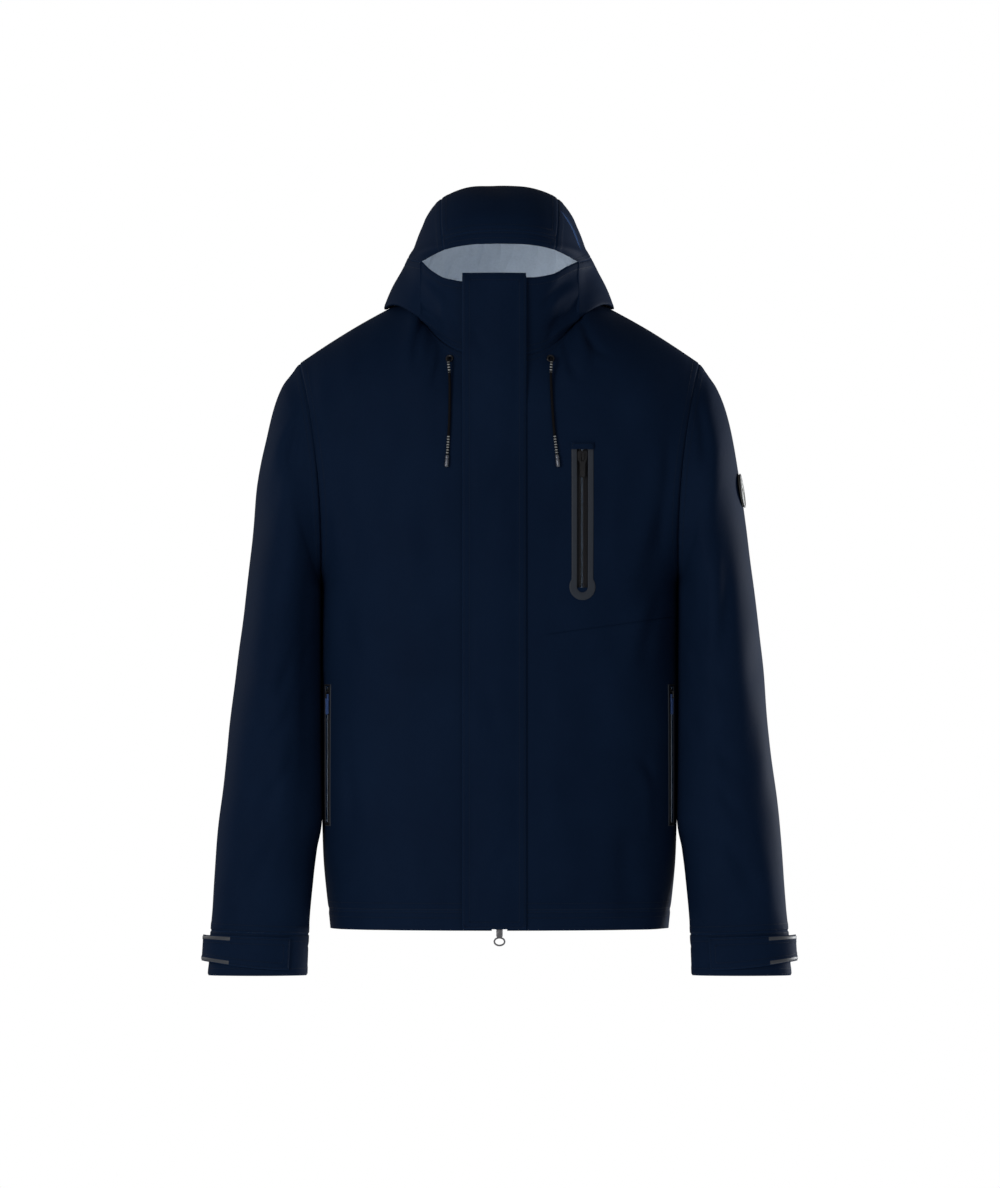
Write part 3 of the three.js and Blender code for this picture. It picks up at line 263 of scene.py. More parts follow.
def cord_finish():
    """Braid of fine black yarn, with reflective dots at two stretches of the cord."""
    dotted, dot_pitch = ((0.010, 0.022), (0.096, 0.120)), 0.0031
    material, tree, shader = finish("braided_cord", (0.005, 0.005, 0.006), 0.7, Specular_IOR_Level=0.03)
    place = mapped(tree)
    around = wire(tree, "SeparateXYZ", place)
    run = around.node.outputs[1]
    pick = 0.0011  # length of one plait
    left = maths(tree, "SINE", times(tree, maths(tree, "ADD", run, around), 2 * math.pi / pick))
    right = maths(tree, "SINE", times(tree, maths(tree, "SUBTRACT", run, around), 2 * math.pi / pick))
    braid = maths(tree, "MAXIMUM", left, right)
    within = None
    for start, end in dotted:
        part = times(tree, maths(tree, "GREATER_THAN", run, start), maths(tree, "LESS_THAN", run, end))
        within = part if within is None else maths(tree, "ADD", within, part)
    beat = maths(tree, "FRACT", times(tree, run, 1 / dot_pitch))
    dots = times(tree, within, maths(tree, "LESS_THAN", beat, 0.42))
    speckle = noise(tree, place, 900.0)
    yarn = blended(tree, speckle, (0.003, 0.003, 0.004), (0.010, 0.010, 0.012))
    paint(tree, shader, blended(tree, dots, yarn, (0.30, 0.31, 0.31)))
    roughen(tree, shader, scaled(tree, dots, -0.25, 0.62))
    raise_surface(tree, shader, times(tree, braid, 0.00012))
    return material


def tip_finish():
    material, tree, shader = finish("crimped_tip", (0.10, 0.11, 0.13), 0.38, Metallic=0.6)
    place = solid_place(tree)
    brushed = noise(tree, wire(tree, "Mapping", place, Scale=(900.0, 900.0, 60.0)), 1.0, 3.0)
    paint(tree, shader, blended(tree, brushed, (0.06, 0.066, 0.08), (0.14, 0.15, 0.18)))
    roughen(tree, shader, scaled(tree, brushed, 0.25, 0.24))
    raise_surface(tree, shader, times(tree, brushed, 0.00004))
    return material


def eyelet_finish():
    material, tree, shader = finish("pressed_eyelet", (0.03, 0.03, 0.035), 0.4, Metallic=0.8)
    grime = noise(tree, solid_place(tree), 700.0, 4.0)
    roughen(tree, shader, scaled(tree, grime, 0.3, 0.18))
    paint(tree, shader, blended(tree, grime, (0.012, 0.012, 0.015), (0.035, 0.035, 0.04)))
    return material


def only_active(piece):
    bpy.ops.object.select_all(action="DESELECT")
    bpy.context.view_layer.objects.active = piece
    piece.select_set(True)


def primitive(kind, **settings):
    """Adds one of Blender's mesh primitives and returns it."""
    bpy.ops.object.select_all(action="DESELECT")
    getattr(bpy.ops.mesh, f"primitive_{kind}_add")(**settings)
    return bpy.context.active_object


def edit_all():
    """Opens the active piece in edit mode, with all of it selected."""
    bpy.ops.object.mode_set(mode="EDIT")
    bpy.ops.mesh.select_all(action="SELECT")


def face_out(piece):
    only_active(piece)
    edit_all()
    bpy.ops.mesh.normals_make_consistent(inside=False)
    bpy.ops.object.mode_set(mode="OBJECT")


def stand_for(piece, body, slot, *nodes):
    """Fixes a piece to a body, in place of these solids."""
    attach(piece, body)
    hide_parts(*nodes)


def with_modifier(piece, kind, **settings):
    """Adds a modifier and applies it."""
    only_active(piece)
    made = piece.modifiers.new(kind.lower(), kind)
    for key, value in settings.items():
        setattr(made, key, value)
    bpy.ops.object.modifier_apply(modifier=made.name)
    piece.select_set(False)


def set_down(piece, matrix):
    """Moves a piece made round the origin to its place, in its mesh."""
    piece.data.transform(matrix)
    piece.data.update()


def facing(origin, out, up=(0, 0, 1)):
    """A placing matrix whose Z runs along out and whose Y is as near up as it can be."""
    z = Vector(out).normalized()
    x = Vector(up).cross(z).normalized()
    y = z.cross(x)
    rows = [[x[i], y[i], z[i], origin[i]] for i in range(3)] + [[0, 0, 0, 1]]
    return Matrix(rows)


def select_faces(piece, wanted):
    """Selects, in edit mode, the faces that wanted(centre, normal) accepts."""
    bpy.ops.mesh.select_all(action="DESELECT")
    bpy.ops.object.mode_set(mode="OBJECT")
    for face in piece.data.polygons:
        face.select = bool(wanted(face.center, face.normal))
    bpy.ops.object.mode_set(mode="EDIT")
    bpy.ops.mesh.select_mode(type="FACE")


def turned(name, start_radius, length, steps, material, sides=24):
    """A turned shape: a cylinder whose end is extruded again and again to (radius, length) steps."""
    piece = primitive("cylinder", vertices=sides, radius=start_radius, depth=length,
                      location=(0, 0, length / 2))
    piece.name = piece.data.name = name
    bpy.ops.object.transform_apply(location=True, rotation=True, scale=True)
    bpy.ops.object.mode_set(mode="EDIT")
    radius, top = start_radius, length
    select_faces(piece, lambda c, n: n.z > 0.9 and c.z > length * 0.9)
    for new_radius, rise in steps:
        bpy.ops.mesh.extrude_region_move(TRANSFORM_OT_translate={"value": (0, 0, rise)})
        top += rise
        share = new_radius / radius
        bpy.ops.transform.resize(value=(share, share, 1), center_override=(0, 0, top))
        radius = new_radius
    bpy.ops.object.mode_set(mode="OBJECT")
    piece.data.materials.append(material)
    return piece


braided_cord, crimped_tip, pressed_eyelet = cord_finish(), tip_finish(), eyelet_finish()
TIP_RADIUS, TIP_GAP = 0.0023, 0.00035
for side, route in CORD_ROUTES.items():
    path, cord_length = along(route, 90)
    cord = tube(f"{side}_braided_cord", path, CORD / 2, 16, braided_cord)
    stand_for(cord, "jacket", "tape_black", f"{side}_hood_cord")
    way = path[-1] - path[-4]
    tip = turned(
        f"{side}_crimped_tip", TIP_RADIUS * 0.86, 0.0006,
        [(TIP_RADIUS, 0.0008), (TIP_RADIUS, 0.0022), (TIP_RADIUS * 0.8, 0.0005), (TIP_RADIUS * 0.8, 0.0006),
         (TIP_RADIUS, 0.0005), (TIP_RADIUS * 0.98, 0.0074), (TIP_RADIUS * 0.86, 0.0009),
         (TIP_RADIUS * 0.5, 0.0005)],
        crimped_tip,
    )
    set_down(tip, facing(path[-1] + way / np.linalg.norm(way) * TIP_GAP, way, (0, 1, 0)))
    with_modifier(tip, "BEVEL", width=0.00018, segments=2, limit_method="ANGLE", angle_limit=math.radians(25))
    smooth(tip, 40)
    stand_for(tip, "jacket", "tip_grey", f"{side}_cord_tip")
    low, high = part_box(f"{side}_cord_eyelet")
    middle = (low + high) / 2
    out = (-0.25, -0.911, 0.329) if side == "right" else (0.23, -0.911, 0.344)
    eyelet = primitive("torus", major_radius=0.0034, minor_radius=0.00125, major_segments=40,
                       minor_segments=12)
    eyelet.name = eyelet.data.name = f"{side}_pressed_eyelet"
    edit_all()
    bpy.ops.transform.resize(value=(1, 1, 0.62), center_override=(0, 0, 0))
    bpy.ops.object.mode_set(mode="OBJECT")
    eyelet.data.materials.append(pressed_eyelet)
    set_down(eyelet, facing(middle, out))
    smooth(eyelet, 60)
    stand_for(eyelet, "jacket", "metal_dark", f"{side}_cord_eyelet")

# ---- Front and back panels ----------------------------------------------------------------------------
# Three-layer waterproof laminate: a matte navy woven face, a membrane, and a pale grey backing. Two fronts
# and a one-piece back are joined at the sides and shoulders, and each seam is felled and sewn twice.
# Shapes are worked out in millimetres from the neck point's level, and moved to the hang loop's origin.
TO_ROW = np.array([0.0, -72.1, -33.4])
SIDES = ((-1, "right"), (1, "left"))
CLOTH = 1.5
HEM_Z, CHEST_HALF, HEM_HALF, SIDE_Y, BODY_SQUARE = -717.0, 206.0, 196.0, 5.0, 2.35
HEM_FRONT, FRONT_LEAN, HEM_BACK = 132.0, 0.04, 118.0
ARMPIT_Z, SHOULDER_X, SHOULDER_Z, YOKE_Z = -318.0, 232.0, -62.0, -110.0
ARMHOLE_HALF_DEPTH, ARMHOLE_BOW = 78.0, 9.0
NECK_HALF, NECK_SIDE_Y, NECK_SIDE_Z = 104.0, 8.0, 14.0
NECK_FRONT_Z, NECK_BACK_Y, NECK_BACK_Z = -54.0, 82.0, 22.0
NECK_SHARE, ZIP_SLOT_HALF = 0.36, 9.0
ARMPIT_X = CHEST_HALF + 1


def mix(a, b, t):
    return a + (b - a) * t


def ease(x, low, high):
    t = np.clip((np.asarray(x, float) - low) / (high - low), 0, 1)
    return t * t * (3 - 2 * t)


def bell(x, at, wide, power=2):
    return np.exp(-(((x - at) / wide) ** power))


def profile(*keys):
    """A smooth function through (at, value) pairs that doesn't overshoot."""
    x, y = np.array(keys, float).T
    chord = np.diff(y) / np.diff(x)
    slope = np.concatenate([chord[:1], np.zeros(len(x) - 2), chord[-1:]])
    for i in range(1, len(x) - 1):
        a, b = chord[i - 1], chord[i]
        slope[i] = 0 if a * b <= 0 else 2 * a * b / (a + b)

    def at(t):
        t = np.asarray(t, float)
        i = np.clip(np.searchsorted(x, t, side="left") - 1, 0, len(x) - 2)
        h = x[i + 1] - x[i]
        s = np.clip((t - x[i]) / h, 0, 1)
        return (y[i] * (2 * s**3 - 3 * s**2 + 1) + h * slope[i] * (s**3 - 2 * s**2 + s)
                + y[i + 1] * (3 * s**2 - 2 * s**3) + h * slope[i + 1] * (s**3 - s**2))

    return at


half_width = profile((HEM_Z, HEM_HALF), (-626, 204.5), (-560, CHEST_HALF), (ARMPIT_Z, ARMPIT_X))
back_y = profile((HEM_Z, HEM_BACK), (-600, 116), (-480, 113), (-330, 123), (-200, 129), (YOKE_Z, 125))


def front_y(z):
    return -(HEM_FRONT - FRONT_LEAN * (z - HEM_Z))


def point(x, y, z):
    return np.stack(np.broadcast_arrays(x, y, z), axis=-1).astype(float)


def armhole(z):
    """The armhole seam at a height: its X, and half its depth from front to back."""
    up = np.clip((z - (ARMPIT_Z + SHOULDER_Z) / 2) / ((SHOULDER_Z - ARMPIT_Z) / 2), -1, 1)
    opened = np.sqrt(1 - up * up)
    return mix(ARMPIT_X, SHOULDER_X, (up + 1) / 2) - ARMHOLE_BOW * opened**2, ARMHOLE_HALF_DEPTH * opened


def body_arc(face, z):
    """Depth, last angle and full width of the level arc of the front (-1) or back (1)."""
    z = np.asarray(z, float)
    depth = np.abs((front_y(z) if face < 0 else back_y(z)) - SIDE_Y)
    hole_x, hole_half = armhole(z)
    below = z <= ARMPIT_Z
    last = np.arccos(np.where(below, 0, (hole_half / depth) ** (BODY_SQUARE / 2)))
    full = np.where(below, half_width(z), hole_x) / np.sin(last) ** (2 / BODY_SQUARE)
    return depth, last, full


def on_arc(face, z, s):
    depth, last, full = body_arc(face, z)
    x = full * np.sin(s * last) ** (2 / BODY_SQUARE)
    y = SIDE_Y + face * depth * np.maximum(0, np.cos(s * last)) ** (2 / BODY_SQUARE)
    return point(x, y, z)


def arc_share(face, z, x):
    _, last, full = body_arc(face, z)
    return np.arcsin(np.clip(x / full, 0, 1) ** (BODY_SQUARE / 2)) / last


def neck_seam(face, share):
    turn = np.radians(90 * share)
    centre_y, centre_z = (front_y(NECK_FRONT_Z), NECK_FRONT_Z) if face < 0 else (NECK_BACK_Y, NECK_BACK_Z)
    climb = np.sin(turn) ** (3.2 if face < 0 else 2)
    return point(NECK_HALF * np.sin(turn), mix(NECK_SIDE_Y, centre_y, np.cos(turn)),
                 mix(centre_z, NECK_SIDE_Z, climb))


def over_shoulder(face, s, k):
    """From the yoke line (k 0) up to the neck seam or the shoulder line (k 1)."""
    source = on_arc(face, np.full_like(s, YOKE_Z), s)
    on_neck = s < NECK_SHARE
    share = np.clip((s - NECK_SHARE) / (1 - NECK_SHARE), 0, 1)
    ridge = point(mix(NECK_HALF, SHOULDER_X, share), mix(NECK_SIDE_Y, SIDE_Y, share),
                  mix(NECK_SIDE_Z, SHOULDER_Z, share) + 3 * np.sin(math.pi * share))
    neck_part = np.clip(s / NECK_SHARE, 0, 1)
    goal = np.where(on_neck[..., None], neck_seam(face, neck_part), ridge)
    turn = np.radians(np.where(on_neck, mix(40, 90, neck_part), 90))
    up = np.sin(k * turn) / np.sin(turn)
    bent = (1 - np.cos(k * turn)) / (1 - np.cos(turn))
    across = mix(up, bent, ease(s, 0, 0.3))
    p = point(mix(source[..., 0], goal[..., 0], across), mix(source[..., 1], goal[..., 1], across),
              mix(source[..., 2], goal[..., 2], up))
    near = ease(s, NECK_SHARE, 1)
    hole_x, hole_half = armhole(mix(YOKE_Z, SHOULDER_Z, np.sin(k * math.pi / 2)))
    edge = on_arc(face, np.array(YOKE_Z), np.array(1.0))
    bend = 1 - np.cos(k * math.pi / 2)
    p[..., 0] += near * (hole_x - mix(edge[0], SHOULDER_X, bend))
    p[..., 1] += near * (SIDE_Y + face * hole_half - mix(edge[1], SIDE_Y, bend))
    return p


BELOW_YOKE = 0.7


def body_point(face, s, v):
    """A point of the body's surface: s runs from the centre line to the side, v from the hem to the top."""
    share = np.abs(s)
    low = on_arc(face, mix(HEM_Z, YOKE_Z, np.minimum(v, BELOW_YOKE) / BELOW_YOKE), share)
    high = over_shoulder(face, share, np.clip((v - BELOW_YOKE) / (1 - BELOW_YOKE), 0, 1))
    p = np.where((v <= BELOW_YOKE)[..., None], low, high)
    p[..., 0] *= np.where(s < 0, -1, 1)
    return p


def spaced(length, count, near=(True, True)):
    """Shares from 0 to 1, with extra ones close to the sewn ends of a length in millimetres."""
    steps = np.array([0.5, 1.0, 1.6, 2.4, 3.4, 5.0, 7.0, 9.5]) / length
    first = steps if near[0] else []
    last = 1 - steps if near[1] else []
    start, stop = (steps[-1] if near[0] else 0), (1 - steps[-1] if near[1] else 1)
    return np.unique(np.concatenate([[0], first, np.linspace(start, stop, count), last, [1]]))


def run_along(p, axis):
    """Distance along the grid's rows (axis 1) or columns (axis 0), from its first line."""
    step = np.linalg.norm(np.diff(p, axis=axis), axis=2)
    start = np.zeros_like(np.take(step, [0], axis=axis))
    return np.concatenate([start, np.cumsum(step, axis=axis)], axis=axis)


def normals_of(p, core):
    """Unit normals of a grid, away from the core."""
    n = np.cross(np.gradient(p, axis=1), np.gradient(p, axis=0))
    size = np.linalg.norm(n, axis=2, keepdims=True)
    n = n / np.maximum(size, 1e-9)
    middle = n[n.shape[0] // 2, n.shape[1] // 2]
    toward = p[n.shape[0] // 2, n.shape[1] // 2] - np.asarray(core, float)
    return n if middle @ toward > 0 else -n


def creases(x, z, lines):
    """Height of soft folds drawn as (x0, z0, x1, z1, half width, height, bow) over x and z."""
    total = np.zeros_like(x)
    for x0, z0, x1, z1, wide, high, bow in lines:
        dx, dz = x1 - x0, z1 - z0
        long = math.hypot(dx, dz)
        t = ((x - x0) * dx + (z - z0) * dz) / long**2
        off = ((x - x0) * dz - (z - z0) * dx) / long - bow * 4 * t * (1 - t)
        spread = wide * (0.7 + 0.6 * np.clip(t, 0, 1))
        shown = ease(t, -0.12, 0.3) * (1 - ease(t, 0.6, 1.1))
        total += high * shown * (0.75 * bell(off, 1.3 * spread, 1.2 * spread)
                                 - bell(off, 0, 0.75 * spread))
    return total


def waves(x, y, z, seed, size=1.0):
    """Faint unevenness of hanging cloth: a few long waves, stretched up and down."""
    made = np.zeros(np.broadcast(x, y, z).shape)
    draw = np.random.default_rng(seed)
    for _ in range(9):
        across, depth = draw.uniform(40, 130, 2)
        tall = draw.uniform(140, 420)
        phase, lean = draw.uniform(0, 2 * math.pi, 2)
        made += np.sin(x * 2 * math.pi / across + phase + 1.3 * np.sin(z / tall * 2 * math.pi + lean)
                       + y * 2 * math.pi / (depth + 90))
    return made / 9 * size


def waves_on(p, seed, size):
    return waves(p[..., 0], p[..., 1], p[..., 2], seed, size)


def seam_map(p, edges):
    """For each point (distance run along, distance from) the nearest sewn edge, in metres. Each of the four
    edges (u0, u1, v0, v1) that is sewn has how much further out its first row of stitches lies."""
    run_u, run_v = run_along(p, 1), run_along(p, 0)
    sides = {
        "u0": (run_v, run_u), "u1": (run_v, run_u[:, -1:] - run_u),
        "v0": (run_u, run_v), "v1": (run_u, run_v[-1:] - run_v),
    }
    best = np.full(p.shape[:2], 1e3)
    run = np.zeros(p.shape[:2])
    for edge, further in edges.items():
        along_it, off = sides[edge]
        off = np.abs(off - further)
        closer = off < best
        best = np.where(closer, off, best)
        run = np.where(closer, along_it, run)
    return np.stack([run, best], axis=2) / 1000, best


def cloth(name, p, core, sewn, materials, thick=CLOTH, relief=None, ridge=0.35, groove=0.7, folded=None):
    """A cloth panel as a closed piece. p is its outer face, a grid in millimetres. Sewn edges dip into their
    seam, with a low ridge where the allowance lies under the stitches, and folded is extra thickness."""
    seam, off = seam_map(p, sewn) if sewn else (np.full((*p.shape[:2], 2), 0.2), np.full(p.shape[:2], 1e3))
    flat = np.stack([run_along(p, 1), run_along(p, 0)], axis=2) / 1000
    n = normals_of(p, core)
    height = -groove * bell(off, 0, 1.1) + ridge * ease(off, 0.8, 2.2) * (1 - ease(off, 8.6, 10.4))
    if relief is not None:
        height = height + relief
    outer = p + n * height[..., None]
    n = normals_of(outer, core)
    depth = np.full(p.shape[:2], float(thick)) if folded is None else thick + folded
    inner = outer - n * depth[..., None]
    rows, columns = p.shape[:2]
    at = np.arange(rows * columns).reshape(rows, columns)
    under = at + rows * columns

    def quads(a):
        return np.stack([a[:-1, :-1], a[:-1, 1:], a[1:, 1:], a[1:, :-1]], axis=2).reshape(-1, 4)

    def rim(line):
        return np.stack([line[:-1], line[1:], line[1:] + rows * columns, line[:-1] + rows * columns], axis=1)

    border = np.vstack([rim(at[0])[:, ::-1], rim(at[-1]), rim(at[:, 0]), rim(at[:, -1])[:, ::-1]])
    faces = [quads(at), quads(under)[:, ::-1], border]
    first = p[0, 0], p[0, 1], p[1, 0]
    if np.cross(first[1] - first[0], first[2] - first[0]) @ n[0, 0] < 0:
        faces = [f[:, ::-1] for f in faces]
    slots = np.repeat([0, 1, 0], [len(f) for f in faces])
    vertices = (np.vstack([outer.reshape(-1, 3), inner.reshape(-1, 3)]) + TO_ROW) / 1000
    maps = {"Cloth": np.tile(flat.reshape(-1, 2), (2, 1)), "Seam": np.tile(seam.reshape(-1, 2), (2, 1))}
    return mesh_piece(name, vertices, np.vstack(faces), materials, maps, slots)


STITCH_ROWS, STITCH_PITCH, SEAM_TAPE_HALF = (0.0021, 0.0083), 0.0031, 0.0105
WEAVE = 0.00085


def shell_finish(name, dark, light, thread):
    """Matte woven face cloth, with two rows of lockstitch beside each sewn edge and the puckers they pull."""
    material, tree, shader = finish(name, light, 0.62, Specular_IOR_Level=0.018)
    place = mapped(tree)
    solid = solid_place(tree)
    warp = wire(tree, "TexWave", place, 0.314 / WEAVE, 0.6, 2.0, wave_type="BANDS", bands_direction="X")
    weft = wire(tree, "TexWave", place, 0.314 / WEAVE, 0.6, 2.0, wave_type="BANDS", bands_direction="Y")
    warp, weft = (wire(tree, "Math", w.node.outputs["Fac"], 0.5, operation="SUBTRACT") for w in (warp, weft))
    plain = times(tree, warp, weft)
    slubs = noise(tree, wire(tree, "Mapping", place, Scale=(1.0, 6.0, 1.0)), 260.0, 3.0)
    cloudy = noise(tree, solid, 9.0, 4.0, 0.55)
    fine = noise(tree, solid, 700.0, 2.0)
    base = blended(tree, wire(tree, "MapRange", cloudy, 0.3, 0.7), dark, light)
    base = blended(tree, times(tree, fine, 0.35), base, tuple(c * 1.5 for c in light))
    base = blended(tree, times(tree, slubs, 0.25), base, tuple(c * 0.6 for c in dark))
    seam = wire(tree, "SeparateXYZ", mapped(tree, "Seam"))
    run, off = seam, seam.node.outputs[1]
    beat = maths(tree, "FRACT", times(tree, run, 1 / STITCH_PITCH))
    sewn = maths(tree, "LESS_THAN", beat, 0.7)
    rows = [maths(tree, "COMPARE", off, at, 0.00033) for at in STITCH_ROWS]
    stitch = times(tree, maths(tree, "ADD", *rows), sewn)
    trough = maths(tree, "ADD", *(maths(tree, "COMPARE", off, at, 0.0006) for at in STITCH_ROWS))
    base = blended(tree, stitch, base, thread)
    worn = times(tree, maths(tree, "LESS_THAN", off, 0.0012), fine)
    base = blended(tree, times(tree, worn, 0.5), base, tuple(c * 1.8 for c in light))
    paint(tree, shader, base)
    rough = scaled(tree, cloudy, 0.14, 0.60)
    roughen(tree, shader, scaled(tree, stitch, -0.15, rough))
    pucker = noise(tree, wire(tree, "Mapping", mapped(tree, "Seam"), Scale=(90.0, 12.0, 1.0)), 1.0, 1.0)
    fade = wire(tree, "MapRange", off, 0.0, 0.014, 1.0, 0.0)
    height = times(tree, plain, 0.00006)
    height = scaled(tree, slubs, 0.00004, height)
    height = scaled(tree, times(tree, pucker, fade), 0.0007, height)
    height = scaled(tree, trough, -0.00022, height)
    height = scaled(tree, stitch, 0.00034, height)
    raise_surface(tree, shader, height)
    return material


def lining_finish():
    """Pale printed backing of the laminate, with waterproof tape pressed over the seams."""
    material, tree, shader = finish("taped_backing", (0.46, 0.53, 0.62), 0.6, Specular_IOR_Level=0.3)
    place = mapped(tree)
    seam = wire(tree, "SeparateXYZ", mapped(tree, "Seam"))
    off = seam.node.outputs[1]
    grid = wire(tree, "TexVoronoi", place, None, 420.0)
    cloudy = noise(tree, solid_place(tree), 26.0, 4.0)
    base = blended(tree, cloudy, (0.37, 0.43, 0.51), (0.52, 0.59, 0.67))
    base = blended(tree, times(tree, grid, 0.3), base, (0.30, 0.35, 0.42))
    taped = maths(tree, "LESS_THAN", off, SEAM_TAPE_HALF)
    rim = maths(tree, "COMPARE", off, SEAM_TAPE_HALF, 0.0005)
    base = blended(tree, times(tree, taped, 0.7), base, (0.50, 0.55, 0.61))
    base = blended(tree, rim, base, (0.22, 0.26, 0.32))
    paint(tree, shader, base)
    roughen(tree, shader, scaled(tree, taped, -0.2, 0.66))
    height = scaled(tree, grid, 0.00008, times(tree, taped, 0.0003))
    crumple = noise(tree, place, 38.0, 2.0, 0.5, None, None, None, 1.2)
    height = scaled(tree, crumple, 0.0016, height)
    slanted = wire(tree, "Mapping", place, Rotation=(0.0, 0.0, 0.6), Scale=(26.0, 7.0, 1.0))
    folds = maths(tree, "ABSOLUTE", maths(tree, "SUBTRACT", noise(tree, slanted, 1.0, 1.5), 0.5))
    raise_surface(tree, shader, scaled(tree, folds, -0.011, height))
    return material


THREAD = (0.009, 0.016, 0.034)
NAVY_DARK, NAVY = (0.0028, 0.0078, 0.0222), (0.0040, 0.0108, 0.0292)
navy_shell = shell_finish("navy_laminate", NAVY_DARK, NAVY, THREAD)
grey_backing = lining_finish()
LAMINATE, DOUBLED = [navy_shell, grey_backing], [navy_shell, navy_shell]
BODY_CORE = (0.0, SIDE_Y, -420.0)
FRONT_FOLDS = {
    "right": [
        (-84, -2, -98, -74, 7, 3.0, 4), (-62, -34, -78, -92, 6, 2.6, -3), (-46, -50, -50, -86, 5, 1.8, 0),
        (-150, -60, -176, -190, 16, 2.6, 8), (-190, -200, -168, -330, 14, 2.2, -8),
        (-196, -470, -150, -620, 18, 2.4, 12), (-186, -330, -150, -430, 16, 1.8, 6),
        (-90, -300, -80, -560, 30, 1.6, 10), (-140, -560, -120, -712, 22, 2.2, -8),
    ],
    "left": [
        (90, -6, 112, -72, 8, 3.2, -4), (72, -26, 92, -86, 7, 2.8, 3), (100, -30, 128, -58, 6, 2.0, 2),
        (196, -150, 172, -300, 15, 3.2, -10), (190, -230, 156, -356, 18, 2.6, -6),
        (165, -520, 196, -616, 13, 3.4, -14), (188, -330, 168, -430, 12, 2.4, 6),
        (110, -420, 96, -600, 30, 1.6, -8), (146, -600, 160, -712, 18, 2.4, 6),
    ],
}


def front_grid(side, u, v):
    """The front from the zip slot (u 0) to the side seam (u 1), and from the hem (v 0) to the top (v 1)."""
    z = mix(HEM_Z, YOKE_Z, np.minimum(v / BELOW_YOKE, 1))
    climb = np.maximum(0, (v - BELOW_YOKE) / (1 - BELOW_YOKE))
    neck_edge = NECK_SHARE * math.asin(ZIP_SLOT_HALF / NECK_HALF) / (math.pi / 2)
    start = mix(arc_share(-1, z, ZIP_SLOT_HALF), neck_edge, climb)
    p = body_point(-1, mix(start, 1.0, u**1.2), v)
    p[..., 0] *= side
    return p


def block(name, low, high, matrix):
    made = primitive("cube", size=1.0, location=(0, 0, 0))
    made.name = name
    made.data.transform(matrix @ box_matrix(low, high))
    return made


def box_matrix(low, high):
    middle = [(a + b) / 2 for a, b in zip(low, high)]
    size = [b - a for a, b in zip(low, high)]
    return Matrix.Translation(middle) @ Matrix.Diagonal((*size, 1))


def cut_away(piece, tool):
    """Cuts the tool's shape out of a piece, and removes the tool."""
    with_modifier(piece, "BOOLEAN", object=tool, operation="DIFFERENCE", solver="EXACT")
    bpy.data.objects.remove(tool)


def frame_matrix(origin, across, back, up):
    """A frame whose -Y stands out of the cloth. Origin in millimetres."""
    rows = [[across[i], back[i], up[i], origin[i] / 1000] for i in range(3)] + [[0, 0, 0, 1]]
    return Matrix(rows)


CHEST_FRAME = frame_matrix((95.7, -177.061, -192.4), (0.98896, 0.14815, -0.00223),
                           (-0.14817, 0.98885, -0.01489),
                           (0, 0.01506, 0.99989))
HAND_FRAMES = {
    "right": frame_matrix((-199, -110.981, -467.4), (0.3589, -0.93336, -0.00496), (0.93337, 0.3589, 0.00191),
                          (0, -0.00531, 0.99999)),
    "left": frame_matrix((199, -110.981, -467.4), (0.3589, 0.93336, 0.00496), (-0.93337, 0.3589, 0.00191),
                         (0, -0.00531, 0.99999)),
}
CHEST_ZIP_LONG, HAND_ZIP_LONG, ZIP_OPENING_HALF = 0.166, 0.164, 0.0064
DART_Z, DART_TILT, DART_FROM, DART_TO = -366.0, 0.137, 52.0, 199.0
V_PER_MM = BELOW_YOKE / (YOKE_Z - HEM_Z)
HEM_FOLD, HEM_STITCH = 25, 0.45  # how high the hem is turned up, and how deep its stitches sink


def front_panel(side, name):
    us = spaced(300, 84, near=(False, True))
    vs = spaced(960, 190)
    if side > 0:
        dart_v = (DART_Z - HEM_Z) * V_PER_MM
        extra = dart_v + np.array([-3.4, -2.0, -1.1, -0.5, 0, 0.5, 1.1, 2.0, 3.4]) * V_PER_MM
        vs = np.unique(np.concatenate([vs[np.abs(vs - dart_v) > 4.4 * V_PER_MM], extra]))
    u, v = np.meshgrid(us, vs)
    rows = v.copy()
    if side > 0:  # rows tilt to run along the dart
        x = front_grid(1, u, v)[..., 0]
        near = bell(v, dart_v, 70 * V_PER_MM)
        rows = v + DART_TILT * (x - 125) * V_PER_MM * near
    p = front_grid(side, u, rows)
    x, z = np.abs(p[..., 0]), p[..., 2]
    _, off = seam_map(p, {"u1": 0, "v1": 0})
    free = ease(x, 44, 70) * ease(off, 3, 26)
    free *= 1 - (1 - ease(np.abs(x - 60), 7, 18)) * ease(z, -215, -185)
    free *= 1 - ease(x, 168, 184) * ease(z, -630, -606) * (1 - ease(z, -432, -412))
    if side > 0:
        free *= 1 - (1 - ease(np.abs(x - 95.7), 20, 40)) * ease(z, -356, -334) * (1 - ease(z, -152, -138))
    relief = free * (creases(p[..., 0], z, FRONT_FOLDS[name]) + waves(x, p[..., 1], z,
                                                                      3 if side < 0 else 5, 2.6))
    hem = run_along(p, 0)
    relief = relief - HEM_STITCH * bell(hem, HEM_FOLD, 1.6)
    if side > 0:
        level = (v - dart_v) / V_PER_MM
        inside = ease(x, DART_FROM - 2, DART_FROM + 8) * (1 - ease(x, DART_TO, DART_TO + 4))
        relief = relief - inside * (0.9 * bell(level, 0, 0.8) - 0.5 * bell(level, -3, 3.2))
    facing_edge = 1 - ease(run_along(p, 1), 11, 13)
    return cloth(f"{name}_front", p, BODY_CORE, {"u0": 4, "u1": 0, "v1": 0, "v0": 23}, LAMINATE,
                 relief=relief, folded=np.maximum(1.0 * (1 - ease(hem, 24, 27)), 1.7 * facing_edge))


